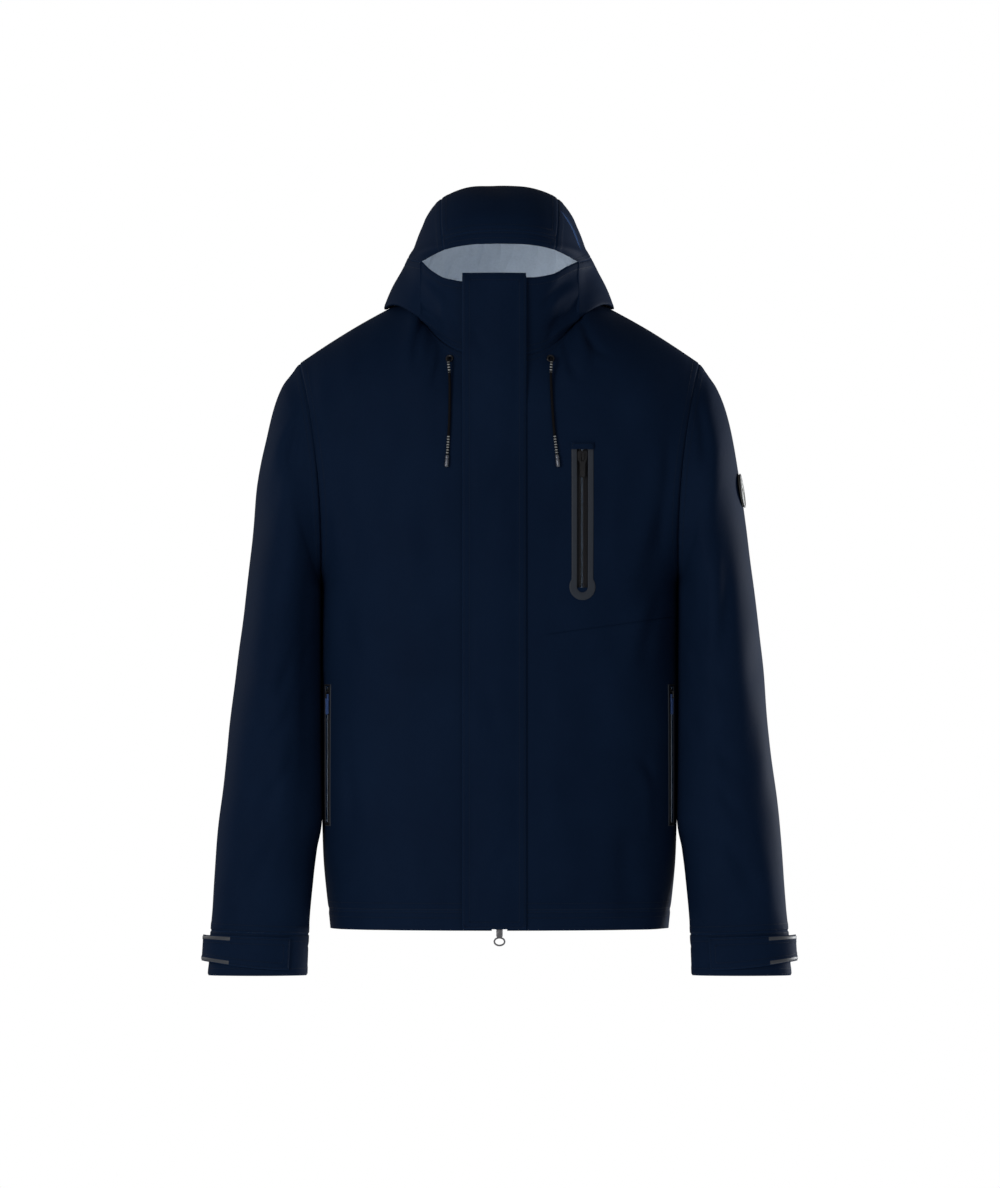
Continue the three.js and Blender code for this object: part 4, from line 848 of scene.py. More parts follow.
front_surface = {}
for side, name in SIDES:
    panel = front_panel(side, name)
    front_surface[name] = BVHTree.FromPolygons(
        [v.co for v in panel.data.vertices], [list(f.vertices) for f in panel.data.polygons]
    )
    slots = [(HAND_FRAMES[name], HAND_ZIP_LONG)] + ([(CHEST_FRAME, CHEST_ZIP_LONG)] if side > 0 else [])
    for matrix, long in slots:
        cut_away(panel, block("slot", (-ZIP_OPENING_HALF, -0.009, -long + 0.003),
                              (ZIP_OPENING_HALF, 0.012, -0.003),
                              matrix))
    smooth(panel, 50)
    stand_for(panel, "jacket", "shell_navy", f"{name}_front_panel")

BACK_FOLDS = [
    (-60, -40, -150, -120, 22, 2.4, -8), (70, -44, 160, -130, 24, 2.2, 8),
    (-196, -180, -150, -330, 16, 2.6, 8),
    (192, -200, 140, -340, 17, 2.8, -8), (-40, -300, -60, -560, 34, 1.8, 10),
    (90, -360, 70, -640, 30, 2.0, -10),
    (-150, -420, -176, -640, 24, 2.2, 8), (170, -470, 150, -690, 20, 2.0, -6),
    (0, -120, 10, -300, 40, 1.2, 8),
]


def back_panel():
    us, vs = spaced(560, 150), spaced(960, 180)
    u, v = np.meshgrid(us, vs)
    p = body_point(1, mix(-1.0, 1.0, u), v)
    _, off = seam_map(p, {"u0": 0, "u1": 0, "v1": 0})
    x, z = p[..., 0], p[..., 2]
    hem = run_along(p, 0)
    relief = ease(off, 3, 30) * (creases(x, z, BACK_FOLDS) + waves(x, p[..., 1], z, 8, 3.0))
    relief = relief - HEM_STITCH * bell(hem, HEM_FOLD, 1.6)
    return cloth("back", p, BODY_CORE, {"u0": 0, "u1": 0, "v1": 0, "v0": 23}, LAMINATE,
                 relief=relief, folded=1.0 * (1 - ease(hem, 24, 27)))


back = back_panel()
stand_for(back, "jacket", "shell_navy", "back_panel")

# ---- Sleeves and cuffs --------------------------------------------------------------------------------
# Each sleeve is an upper and an under panel of the same laminate, felled together down two seams, and ends
# in a turned cuff band. The elbow and the inside of the arm fold softly. A gusset of shell cloth is sewn
# under the armhole seam.
SLEEVE_DROP, CUFF_BAND = 709.0, 52.0
UPPER_HALF_TURN = 118.0
CUFF_Z = SHOULDER_Z - SLEEVE_DROP
CUFF_START = 1 - CUFF_BAND / SLEEVE_DROP
outside_x = profile((0, 0), (0.037, 20), (0.096, 34), (0.17, 44), (0.265, 54), (0.37, 64), (0.57, 79),
                    (0.76, 93),
                    (0.89, 101), (0.96, 104), (1, 106))
inside_x = profile((0, 0.6), (0.12, 1.8), (0.5, 2.0), (0.62, 2.4), (0.74, 8), (0.86, 13), (1, 16))
sleeve_half = profile((0, ARMHOLE_HALF_DEPTH), (0.14, 84), (0.4, 82), (0.62, 66), (0.8, 50), (0.93, 41),
                      (1, 38))
underarm_share = profile((0, 0), (0.3, 0.04), (0.42, 0.14), (0.55, 0.35), (1, 1))


def sleeve_ring(t):
    """Outside X, its Z, inside X, its Z, half depth and middle Y of a sleeve's ring."""
    inner = underarm_share(t)
    return (SHOULDER_X + outside_x(t), SHOULDER_Z - t * SLEEVE_DROP, ARMPIT_X + inside_x(inner),
            mix(ARMPIT_Z, CUFF_Z, inner), sleeve_half(t), SIDE_Y - 34 * ease(t, 0.35, 1))


def sleeve_point(side, turn, t):
    """turn 0 is the outside of the sleeve, 90 its front and 180 its inside."""
    out_x, out_z, in_x, in_z, half, mid_y = sleeve_ring(t)
    c, s = np.cos(np.radians(turn)), np.sin(np.radians(turn))
    x = (out_x + in_x) / 2 + c * (out_x - in_x) / 2 - ARMHOLE_BOW * s * s * (1 - ease(t, 0, 0.1))
    return point(side * x, mid_y - half * s, (out_z + in_z) / 2 + c * (out_z - in_z) / 2)


def sleeve_middle(side, t):
    out_x, out_z, in_x, in_z, _, mid_y = sleeve_ring(t)
    return point(side * (out_x + in_x) / 2, mid_y, (out_z + in_z) / 2)


SLEEVE_FOLDS = {
    "right": [
        (-226, -120, -240, -196, 9, 3.2, 6), (-236, -150, -262, -250, 14, 2.2, 8),
        (-214, -380, -262, -470, 12, 2.8, 6), (-222, -440, -286, -520, 13, 2.6, -5),
        (-226, -520, -280, -590, 11, 2.2, 5),
        (-292, -300, -304, -480, 22, 1.8, 6), (-250, -600, -300, -700, 14, 1.8, 4),
    ],
    "left": [
        (222, -96, 236, -190, 10, 3.4, -6), (262, -288, 242, -440, 15, 4.0, -8),
        (214, -380, 262, -460, 12, 2.6, -6), (224, -470, 284, -540, 12, 2.6, 6),
        (230, -540, 286, -600, 11, 2.0, -5),
        (300, -300, 312, -520, 22, 1.8, -6), (256, -610, 306, -700, 14, 1.8, -4),
    ],
}


def sleeve_panel(side, name, part, start, stop, columns):
    us, vs = spaced(420 * (stop - start) / 236, columns), spaced(660, 170)
    u, v = np.meshgrid(us, vs)
    p = sleeve_point(side, mix(start, stop, u), mix(0, CUFF_START, v**1.12))
    _, off = seam_map(p, {"u0": 0, "u1": 0, "v0": 0, "v1": 0})
    x, z = p[..., 0], p[..., 2]
    to_front = ease(SIDE_Y - 34 * ease(-z, 300, 771) - p[..., 1], -10, 30)
    turn = mix(start, stop, u)
    inside = ease(turn, 126, 168) * (1 - ease(turn, 192, 234))
    relief = ease(off, 2, 26) * (creases(x, z, SLEEVE_FOLDS[name]) * mix(0.55, 1, to_front)
                                 + waves(x * 1.2, p[..., 1], z, 11 + side + len(part), 2.4)) * (1 - inside)
    against_body = ease(-z, 300, 330) * (1 - ease(-z, 585, 625))
    relief = relief + inside * against_body * np.clip(np.abs(x) - half_width(z) + 0.1, 0, 7)
    sewn = {"u0": 0, "v0": 0, "v1": 0} if part == "upper" else {"u1": 0, "v0": 0, "v1": 0}
    piece = cloth(f"{name}_sleeve_{part}_cloth", p, sleeve_middle(side, 0.5), sewn, LAMINATE,
                  relief=relief)
    stand_for(piece, f"{name}_sleeve", "shell_navy", f"{name}_sleeve_{part}")


def cuff_band(side, name):
    turns = np.linspace(0, 360, 97)
    vs = spaced(52, 12)
    turn, v = np.meshgrid(turns, vs)
    t = mix(CUFF_START, 1, v)
    p = sleeve_point(side, turn, t)
    drop = run_along(p, 0)
    relief = waves_on(p, 23 + side, 0.8) - 0.45 * bell(drop, 14, 1.4)
    relief[:, -1] = relief[:, 0]
    piece = cloth(f"{name}_cuff_cloth", p, sleeve_middle(side, 0.96), {"v0": 0, "v1": 0}, LAMINATE,
                  relief=relief, folded=np.full(p.shape[:2], 0.6))
    weld(piece)
    stand_for(piece, f"{name}_sleeve", "shell_navy", f"{name}_cuff")


def weld(piece):
    """Closes a band whose first and last columns meet."""
    only_active(piece)
    edit_all()
    bpy.ops.mesh.remove_doubles(threshold=1e-6)
    bpy.ops.mesh.select_all(action="DESELECT")
    bpy.ops.mesh.select_interior_faces()
    bpy.ops.mesh.delete(type="FACE")
    bpy.ops.object.mode_set(mode="OBJECT")
    smooth(piece, 50)


ARMHOLE_OUT = np.array([0.995, 0.0, -0.097])  # square to the plane of the left armhole seam


def gusset(side, name):
    """A strip under the armhole seam, 14 mm to each side."""
    rows = np.array([-14, -9, -5, -2, -1.2, -0.5, 0, 0.3, 0.8, 1.6, 3, 6, 10, 14.0])
    turn, w = np.meshgrid(np.linspace(0, 360, 145), rows)
    low = (1 - np.cos(np.radians(turn))) / 2
    on_sleeve = sleeve_point(side, turn, np.maximum(w, 0) * mix(0.0014, 0.017, low))
    seam_line = sleeve_point(side, turn, np.zeros_like(w))
    toward = seam_line.mean(axis=(0, 1)) - seam_line
    toward /= np.linalg.norm(toward, axis=2, keepdims=True)
    inward = -normals_of(sleeve_point(side, turn, 0.002 + np.abs(w) * mix(0.0014, 0.017, low)),
                         sleeve_middle(side, 0.1))
    share = ease(w, 0, 4)[..., None]
    under = mix(toward, inward, share)
    under /= np.linalg.norm(under, axis=2, keepdims=True)
    out = ARMHOLE_OUT * (side, 1, 1)
    p = on_sleeve + out * np.minimum(w, 0)[..., None] + under * mix(2.4, 3.0, np.abs(w) / 14)[..., None]
    piece = cloth(f"{name}_armhole_gusset", p, sleeve_middle(side, 0.0), {}, LAMINATE, thick=0.8)
    weld(piece)
    at = (sleeve_point(side, np.array(90.0), np.array(0.0)) + TO_ROW) / 1000
    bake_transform(piece)


for side, name in SIDES:
    sleeve_panel(side, name, "upper", -UPPER_HALF_TURN, UPPER_HALF_TURN, 100)
    sleeve_panel(side, name, "under", UPPER_HALF_TURN, 360 - UPPER_HALF_TURN, 54)
    cuff_band(side, name)
    gusset(side, name)

# ---- Cuff tabs ----------------------------------------------------------------------------------------
# A strap of doubled shell cloth is sewn to the front of each cuff. Its loose end wraps round the outside, is
# stiffened by a moulded end with two grey ribs, and grips a patch of loop tape.
TAB_SEWN, TAB_BEND, TAB_END, TAB_TIP = 128, 44, -6, -22  # degrees round the cuff
TAB_TOP, TAB_FOOT, TAB_RISE, TAB_FLARE = 47, 14, 1.3, 6.5
TAB_THICK = 2.0


def clear_of_cuff(side, turn, t, rise):
    """A point this far off the cuff's surface."""
    p = sleeve_point(side, turn, t)
    off = p - sleeve_middle(side, t)
    half = sleeve_ring(t)[4]
    out = point(off[..., 0] / 3300, off[..., 1] / half**2, 0)
    return p + out / np.linalg.norm(out, axis=-1, keepdims=True) * np.asarray(rise)[..., None]


def tab_point(side, turn, v, more=0.0):
    foot = TAB_FOOT + mix(-7, 3, ease(-turn, -TAB_SEWN, -TAB_END)) + 3 * ease(-turn, -TAB_END, -TAB_TIP)
    top = TAB_TOP - 3 * ease(-turn, -TAB_END, -TAB_TIP)
    rise = TAB_RISE + TAB_FLARE * ease(-turn, -50, 25) + TAB_THICK + more
    return clear_of_cuff(side, turn, 1 - mix(foot, top, v) / SLEEVE_DROP, rise)


moulded_grey, tree, shader = finish("moulded_grey", (0.040, 0.044, 0.052), 0.5, Specular_IOR_Level=0.25)
grain = noise(tree, solid_place(tree), 900.0, 3.0)
paint(tree, shader, blended(tree, grain, (0.032, 0.035, 0.042), (0.050, 0.055, 0.066)))
roughen(tree, shader, scaled(tree, grain, 0.2, 0.42))
raise_surface(tree, shader, times(tree, grain, 0.00005))

for side, name in SIDES:
    core = sleeve_middle(side, 0.97)
    turn, v = np.meshgrid(mix(TAB_SEWN, TAB_END, spaced(130, 60)), spaced(33, 12))
    p = tab_point(side, turn, v)
    relief = 0.35 * np.sin(turn / 17.0 + side) * np.sin(v * math.pi)
    rib = (bell(v, 0.10, 0.075, 4) + bell(v, 0.90, 0.075, 4)) * ease(-turn, -58, -55)
    strap = cloth(f"{name}_cuff_strap_cloth", p, core, {"u0": 0, "v0": 0, "v1": 0}, DOUBLED,
                  thick=TAB_THICK, relief=relief + 0.6 * rib, groove=0.5)
    strap.data.materials.append(moulded_grey)
    kinds = np.zeros(len(strap.data.polygons), np.int32)
    ribbed = (rib[:-1, :-1] + rib[1:, 1:] > 1.0).ravel()
    kinds[: ribbed.size] = 2 * ribbed
    strap.data.polygons.foreach_set("material_index", kinds)
    turn, v = np.meshgrid(mix(TAB_END + 3, TAB_TIP, spaced(22, 10)), spaced(33, 12))
    rib = bell(v, 0.13, 0.07, 4) + bell(v, 0.87, 0.07, 4)
    moulded = cloth(f"{name}_cuff_tab_tip", tab_point(side, turn, v, 0.25), core, {},
                    [moulded_grey, navy_shell],
                    thick=TAB_THICK + 0.5, relief=rib * 0.9 * ease(TAB_END + 1 - turn, 0, 3), groove=0)
    middle = (v[:-1, :-1] + v[1:, 1:]) / 2
    plain = ((np.abs(middle - 0.13) > 0.085) & (np.abs(middle - 0.87) > 0.085)).astype(np.int32).ravel()
    kinds = np.zeros(len(moulded.data.polygons), np.int32)
    kinds[: plain.size] = plain
    moulded.data.polygons.foreach_set("material_index", kinds)
    bend = [(tab_point(side, np.array(float(a)), np.array(0.5)) + TO_ROW) / 1000 for a in (TAB_BEND + 9,
                                                                                           TAB_BEND - 9)]
    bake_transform(strap)
    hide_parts(f"{name}_cuff_strap", f"{name}_cuff_tab")
    stand_for(moulded, f"{name}_cuff_tab", "welt_grey", f"{name}_cuff_tab_end")

# ---- Collar and hood ----------------------------------------------------------------------------------
# The collar stands from the neck seam to the chin, and the hood is sewn to it in one. The hood has a wide
# centre panel with a stiffened brim and two side panels. Below them a full skirt gathers over the shoulders.
HOOD_CENTRE, HOOD_SQUARE = np.array([0.0, 0.0, 40.0]), 2.2
FACE_AZ, FACE_EL, BRIM_EL = 55.0, 7.5, 14.7
hood_front = profile((0, 104), (7.5, 107), (14.7, 134.4), (26, 136), (39, 129), (58, 115), (75, 107),
                     (90, 104))
hood_side = profile((0, 116), (7, 111), (19, 104.5), (31, 106), (39, 109), (50, 111.5), (63, 109),
                    (75, 105.5),
                    (90, 104))
hood_back = profile((-13, 86), (-8, 101), (5, 125), (17, 134), (35, 129), (58, 115), (75, 107), (90, 104))
tilt_edge = profile((FACE_AZ, FACE_EL), (90, 12), (130, 21), (180, 27))
crown_half = profile((10, 30), (60, 35), (90, 37), (130, 30), (165, 24), (200, 24))
bulge_out = profile((0, 0), (0.1, 29), (0.25, 26), (0.45, 19), (0.7, 9), (1, 0))
bulge_down = profile((0, 0), (0.1, 18), (0.25, 16), (0.45, 10), (0.7, 4), (1, 0))
collar_edges = {low_side: profile((0, low), (20, low), (35, low + 4), (46, low + 13), (FACE_AZ, 55))
                for low_side, low in ((-1, 31), (1, 36))}


def hood_point(d):
    d = d / np.linalg.norm(d, axis=-1, keepdims=True)
    x, y, z = d[..., 0], d[..., 1], d[..., 2]
    el = np.degrees(np.arcsin(np.clip(z, -1, 1)))
    level = np.maximum(np.hypot(x, y), 1e-9)
    ends = np.where(y < 0, hood_front(el), hood_back(el))
    power = mix(HOOD_SQUARE, 2.0, ease(el, 55, 84))
    lengthwise, sideways = np.abs(y) / level / ends, np.abs(x) / level / hood_side(el)
    reach = (lengthwise**power + sideways**power) ** (-1 / power)
    return d * reach[..., None] + HOOD_CENTRE


def heading(az, el):
    az, el = np.radians(az), np.radians(el)
    return point(np.sin(az) * np.cos(el), -np.cos(az) * np.cos(el), np.sin(el))


def crown_heading(round_, across):
    a, r = np.radians(across), np.radians(round_)
    return point(np.sin(a), -np.cos(a) * np.cos(r), np.cos(a) * np.sin(r))


def azimuth(d):
    return np.degrees(np.arctan2(np.abs(d[..., 0]), -d[..., 1]))


def crown_end(share):
    """How far round the centre panel goes at this share of its width."""
    low, high = np.full_like(share, 120.0), np.full_like(share, 180.0)
    for _ in range(30):
        middle = (low + high) / 2
        d = crown_heading(middle, share * crown_half(middle))
        above = np.degrees(np.arcsin(d[..., 2])) > tilt_edge(azimuth(d))
        low, high = np.where(above, middle, low), np.where(above, high, middle)
    return low


def wall_top(side, az):
    on_hood = hood_point(heading(az, tilt_edge(az)))
    z = collar_edges[side](az)
    c, s = np.cos(np.radians(az)), np.sin(np.radians(az))
    reach = ((np.abs(c) / -front_y(z)) ** HOOD_SQUARE + (s / 111) ** HOOD_SQUARE) ** (-1 / HOOD_SQUARE)
    return np.where((az > FACE_AZ)[..., None], on_hood, point(reach * s, -reach * c, z))


def neck_wall(side, az, h):
    """From the neck seam (h 0) up to the collar's edge or the hood (h 1). The sides bulge out first."""
    front, rear = neck_seam(-1, np.clip(az / 90, 0, 1)), neck_seam(1, np.clip((180 - az) / 90, 0, 1))
    foot = np.where((az <= 90)[..., None], front, rear)
    foot[..., 2] += 0.6
    p = mix(foot, wall_top(side, az), h[..., None])
    c, s = np.cos(np.radians(az)), np.sin(np.radians(az))
    much = ease(az, 40, 88) * (1 - ease(az, 112, 165))
    nape = 9 * np.sin(math.pi * h) * ease(az, 100, 150)
    p[..., 0] += (much * bulge_out(h) + nape) * s
    p[..., 1] -= (much * bulge_out(h) + nape) * c
    p[..., 2] -= much * bulge_down(h) * ease(az, 62, 92)
    p[..., 0] *= side
    return p


COLLAR_FOLDS = {
    "right": [(-108, 14, -52, -26, 8, 3.4, 3), (-84, 34, -46, -4, 7, 1.8, -3),
              (-60, 10, -48, -40, 6, 1.6, 2)],
    "left": [(56, -24, 108, 20, 9, 3.6, 4), (50, 2, 90, 38, 7, 1.8, -3), (52, -44, 72, 2, 6, 1.6, 2)],
}


def hood_piece(name, p, sewn, body, nodes, relief, folded=None):
    piece = cloth(name, p, (0, 0, 30), sewn, LAMINATE, relief=relief, folded=folded, groove=0.35)
    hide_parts(*nodes)
    if body:
        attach(piece, body)
    return piece


us, vs = spaced(230, 70), spaced(330, 100)
u, v = np.meshgrid(us, vs)
across = mix(-1.0, 1.0, u)
round_ = mix(BRIM_EL, crown_end(np.abs(across)), v)
p = hood_point(crown_heading(round_, across * crown_half(round_)))
_, off = seam_map(p, {"u0": 0, "u1": 0, "v0": 0, "v1": 0})
from_brim = run_along(p, 0)
relief = ease(off, 2, 20) * waves_on(p, 31, 0.8)
relief = relief * mix(0.35, 1, ease(from_brim, 20, 60)) - 0.5 * bell(from_brim, 17, 1.4)
hood_piece("hood_centre", p, {"u0": 0, "u1": 0, "v1": 0, "v0": 15}, "hood", ["hood_crown"], relief,
           folded=0.9 * (1 - ease(from_brim, 15, 19)))

last = float(crown_end(np.array([1.0]))[0])
corner = crown_heading(np.array(last), crown_half(last))
back_az = float(azimuth(corner)) - 1
for side, name in SIDES:
    u, v = np.meshgrid(spaced(280, 84), spaced(120, 44))
    round_ = mix(BRIM_EL, last - 1.5, u)
    top = crown_heading(round_, crown_half(round_))
    az = mix(FACE_AZ, back_az, u)
    p = hood_point(mix(heading(az, tilt_edge(az)), top, v[..., None]))
    p[..., 0] *= side
    _, off = seam_map(p, {"u0": 0, "v0": 0, "v1": 0})
    relief = ease(off, 2, 16) * waves_on(p, 37 + side, 1.0)
    hood_piece(f"{name}_hood_cheek", p, {"v0": 0, "v1": 0}, "hood", [f"{name}_hood_side"], relief)
    u, v = np.meshgrid(spaced(110, 40), np.concatenate([[-0.055, -0.03], spaced(100, 44)]))
    start = np.degrees(np.arctan2(ZIP_SLOT_HALF, -mix(front_y(NECK_FRONT_Z), front_y(0), v)))
    foot = mix(math.degrees(math.asin(ZIP_SLOT_HALF / NECK_HALF)), start, v)
    p = neck_wall(side, mix(foot, FACE_AZ, u), v)
    _, off = seam_map(p, {"v0": 6})
    relief = ease(off, 2, 12) * ease(u, 0.25, 0.5) * (
        waves_on(p, 41 + side, 1.0) + creases(p[..., 0], p[..., 2], COLLAR_FOLDS[name]))
    p = p - normals_of(p, (0, 0, 30)) * (2.4 * (1 - ease(v, -0.03, 0.004)))[..., None]
    hood_piece(f"{name}_collar_cloth", p, {"v0": 6, "v1": 0}, "jacket", [f"{name}_collar"], relief)

SKIRT_FROM = 46.0  # the skirt's ends reach under the collar, so that no gap opens when the hood tilts
angles = np.concatenate([np.linspace(SKIRT_FROM, FACE_AZ - 0.6, 7),
                         FACE_AZ + spaced(250, 76, (True, False)) * 125])
turns = np.concatenate([angles, 360 - angles[::-1][1:]])
az, v = np.meshgrid(turns, np.concatenate([[-0.055, -0.03], spaced(110, 46)]))
folded_az = np.where(az > 180, 360 - az, az)
tuck = 1 - ease(folded_az, FACE_AZ - 0.5, FACE_AZ)
halves = [neck_wall(k, folded_az, v * (1 - 0.3 * tuck)) for k in (-1, 1)]
p = np.where((az > 180)[..., None], halves[1], halves[0])
sunk = 2.4 * (1 - ease(v, -0.03, 0.004))
p -= normals_of(p, (0, 0, 30)) * np.maximum(2.6 * tuck, sunk)[..., None]
_, off = seam_map(p, {"v0": 6, "v1": 0})
relief = ease(off, 2, 14) * (1 - tuck) * ease(folded_az, FACE_AZ, FACE_AZ + 8) * (
    waves_on(p, 43, 2.2) + 1.3 * np.sin(folded_az / 7.5 + 2.2 * v) * np.sin(v * math.pi))
skirt = hood_piece("hood_skirt_cloth", p, {"v0": 6, "v1": 0}, None, ["hood_skirt"], relief)
middle = TO_ROW / 1000
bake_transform(skirt)

u, v = np.meshgrid(np.linspace(0, 1, 40), np.linspace(0, 1, 10))
round_ = mix(BRIM_EL + 1.5, BRIM_EL + 17, v)
p = hood_point(crown_heading(round_, mix(-1, 1, u) * (crown_half(round_) - 2)))
p -= normals_of(p, (0, 0, 40)) * 3.4
stiffener = cloth("brim_board", p, (0, 0, 30), {}, [grey_backing, grey_backing], thick=1.2)
stand_for(stiffener, "hood", "lining_grey", "hood_brim_stiffener")

# ---- Storm flap ---------------------------------------------------------------------------------------
# A doubled strip of shell cloth covers the zip. It is sewn down its left edge with two rows of stitches,
# arches over the sliders, and is held closed at its free edge by a strip of hook and loop tape.
FLAP_HINGE_X, FLAP_FREE_X, FLAP_THICK, FLAP_TOP, ALONG_ZIP = 31.0, -43.0, 2.4, 41.0, 1.0008
flap_rise = profile((-43, 1.1), (-34, 1.6), (-24, 2.2), (-14, 3.1), (-6, 3.7), (0, 3.9), (6, 3.5), (14, 2.5),
                    (24, 1.2), (31, -0.35))
ZIP_ORIGIN = np.array([0.0, -103.32, 0.0])


def on_zip(x, out, z):
    """A point in the closure's frame, which leans with the chest: x across, out of it, z up the zip."""
    x, out, z = np.broadcast_arrays(x, out, z)
    return ZIP_ORIGIN + point(x, -0.9992 * out + 0.03997 * z, 0.03997 * out + 0.9992 * z)


def declare_sheet(piece):
    """Works out the flat width and length a cloth panel was cut to; nothing is done with them."""
    mesh = piece.data
    uv = np.empty(len(mesh.loops) * 2, np.float32)
    mesh.uv_layers["Cloth"].data.foreach_get("uv", uv)
    width, length = (float(c) for c in uv.reshape(-1, 2).max(axis=0))
    area = sum(f.area for f in mesh.polygons[: len(mesh.polygons) // 2])
    width = max(width, area / length) * 1.004


u, v = np.meshgrid(spaced(74, 40), np.linspace(0, 1, 160))
x, z = mix(FLAP_HINGE_X, FLAP_FREE_X, u), mix(-715.5, FLAP_TOP, v) * ALONG_ZIP
edge = np.minimum(x - FLAP_FREE_X, np.minimum(FLAP_TOP - z, z + 716))
relief = ease(edge, 6, 20) * ease(FLAP_HINGE_X - x, 8, 20) * np.abs(
    0.9 * np.sin(z / 53 + x / 40) + 0.6 * np.sin(z / 23 + 2.0 - x / 30)) - 0.9 * (1 - ease(edge, 0, 1.6))
relief = relief + 0.8 * creases(x, z, [(-30, -20, -10, -60, 9, 1.0, 3), (10, -170, -20, -300, 14, 1.0, 5),
                                       (-20, -430, 8, -560, 16, 1.2, -6), (14, -610, -16, -690, 12, 1.2, 4)])
flap = cloth("storm_flap_cloth", on_zip(x, flap_rise(x) + FLAP_THICK, z), (0, 200, -330),
             {"u0": 0, "u1": 0, "v1": 0, "v0": 0}, DOUBLED, thick=FLAP_THICK - 0.2, relief=relief,
             groove=0.5)
stand_for(flap, "storm_flap", "shell_navy", "storm_flap")


def strip_piece(name, section, z0, z1, material, place=on_zip, steps=60):
    """A tape or strip of one closed section, given as (x, out) in order round it, run from z0 to z1."""
    section = np.array(section, float)
    round_ = np.vstack([section, section[:1]])
    run = np.concatenate([[0], np.cumsum(np.linalg.norm(np.diff(round_, axis=0), axis=1))])
    zs = np.linspace(z0, z1, steps + 1)
    p = place(round_[None, :, 0], round_[None, :, 1], zs[:, None])
    n, m = len(round_), len(section)
    uv = np.stack(np.broadcast_arrays(run[None], zs[:, None] - z0), axis=2) / 1000
    area = 0.5 * np.sum(round_[:-1, 0] * round_[1:, 1] - round_[1:, 0] * round_[:-1, 1])
    turn = 1 if area < 0 else -1
    faces = [(j * n + i, j * n + i + 1, (j + 1) * n + i + 1, (j + 1) * n + i)[::-turn]
             for j in range(steps) for i in range(m)]
    faces += [tuple(range(m))[::turn], tuple(steps * n + i for i in range(m))[::-turn]]
    piece = mesh_piece(name, (p.reshape(-1, 3) + TO_ROW) / 1000, faces, [material],
                       {"Cloth": uv.reshape(-1, 2)})
    weld(piece)
    return piece


def tape_finish(name, color, pitch, fuzz=0.0):
    """Narrow woven tape: a herringbone of fine yarn, or the tufts of hook and loop where fuzz is given."""
    light = tuple(c * 2.1 for c in color)
    material, tree, shader = finish(name, color, 0.75, Specular_IOR_Level=0.25, Sheen_Weight=0.04 + fuzz / 3)
    place = mapped(tree)
    along_it = wire(tree, "SeparateXYZ", place)
    across, run = along_it, along_it.node.outputs[1]
    zigzag = maths(tree, "PINGPONG", across, pitch * 3)
    rib = maths(tree, "SINE", times(tree, maths(tree, "ADD", run, zigzag), 2 * math.pi / pitch))
    speckle = noise(tree, place, 1500.0, 2.0)
    tufts = wire(tree, "TexVoronoi", place, None, 900.0)
    height = times(tree, rib, 0.00005 * (1 - fuzz))
    height = scaled(tree, tufts, -0.0006 * fuzz, height)
    raise_surface(tree, shader, scaled(tree, speckle, 0.00005, height))
    # Where ribs show, the tape is painted lighter on their crests and darker between them: painted highlight
    # and painted shade. The speckle is the yarn's own tone.
    share = scaled(tree, rib, 0.25 * (1 - fuzz), times(tree, speckle, 0.6))
    paint(tree, shader, blended(tree, share, color, light))
    roughen(tree, shader, scaled(tree, speckle, 0.2, 0.62))
    return material


woven_tape = tape_finish("woven_tape", (0.009, 0.009, 0.011), 0.0012)
pile_tape = tape_finish("loop_pile", (0.008, 0.009, 0.012), 0.0012, fuzz=1.0)
hook_tape = tape_finish("hook_tape", (0.010, 0.010, 0.013), 0.0012, fuzz=0.6)
for name, node, above, body, material in (
    ("flap_pile", "flap_loop_tape", 0.35, "jacket", pile_tape),
    ("flap_hooks", "flap_hook_tape", 1.35, "storm_flap", hook_tape),
):
    x0, x1, y0, y1 = FLAP_FREE_X + 2, FLAP_FREE_X + 17, above - 0.9, above - 0.25
    section = [(x0, y0), (x1, y1), (x1, y1 + 0.65), (x1 - 0.4, y1 + 0.8), (x0 + 0.4, y0 + 0.8),
               (x0, y0 + 0.65)]
    grip = strip_piece(name, section, (HEM_Z + 60) * ALONG_ZIP, YOKE_Z * ALONG_ZIP, material)
    stand_for(grip, body, "tape_black", node)
for side, name in SIDES:
    low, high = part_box(f"{name}_cuff_loop_patch")
    zs = ((low[2] - TO_ROW[2] / 1000) * 1000 + 1.2, (high[2] - TO_ROW[2] / 1000) * 1000 - 1.2)
    turn, w = np.meshgrid(np.linspace(36, 6, 16), np.linspace(0, 1, 8))
    t = (SHOULDER_Z - mix(zs[0], zs[1], w)) / SLEEVE_DROP
    patch = cloth(f"{name}_cuff_pile", clear_of_cuff(side, turn, t, 1.15), sleeve_middle(side, 0.97), {},
                  [pile_tape, pile_tape], thick=1.0)
    stand_for(patch, f"{name}_sleeve", "tape_black", f"{name}_cuff_loop_patch")

# ---- Main zip -----------------------------------------------------------------------------------------
# A two-way zip with moulded teeth on woven tape, sewn behind the edges of the fronts, with an inner flap of
# lining cloth behind it. The top slider is plastic; the bottom one is metal and has a ring on its puller.
TAPE_MID, TOOTH_PITCH = -3.8, 3.1


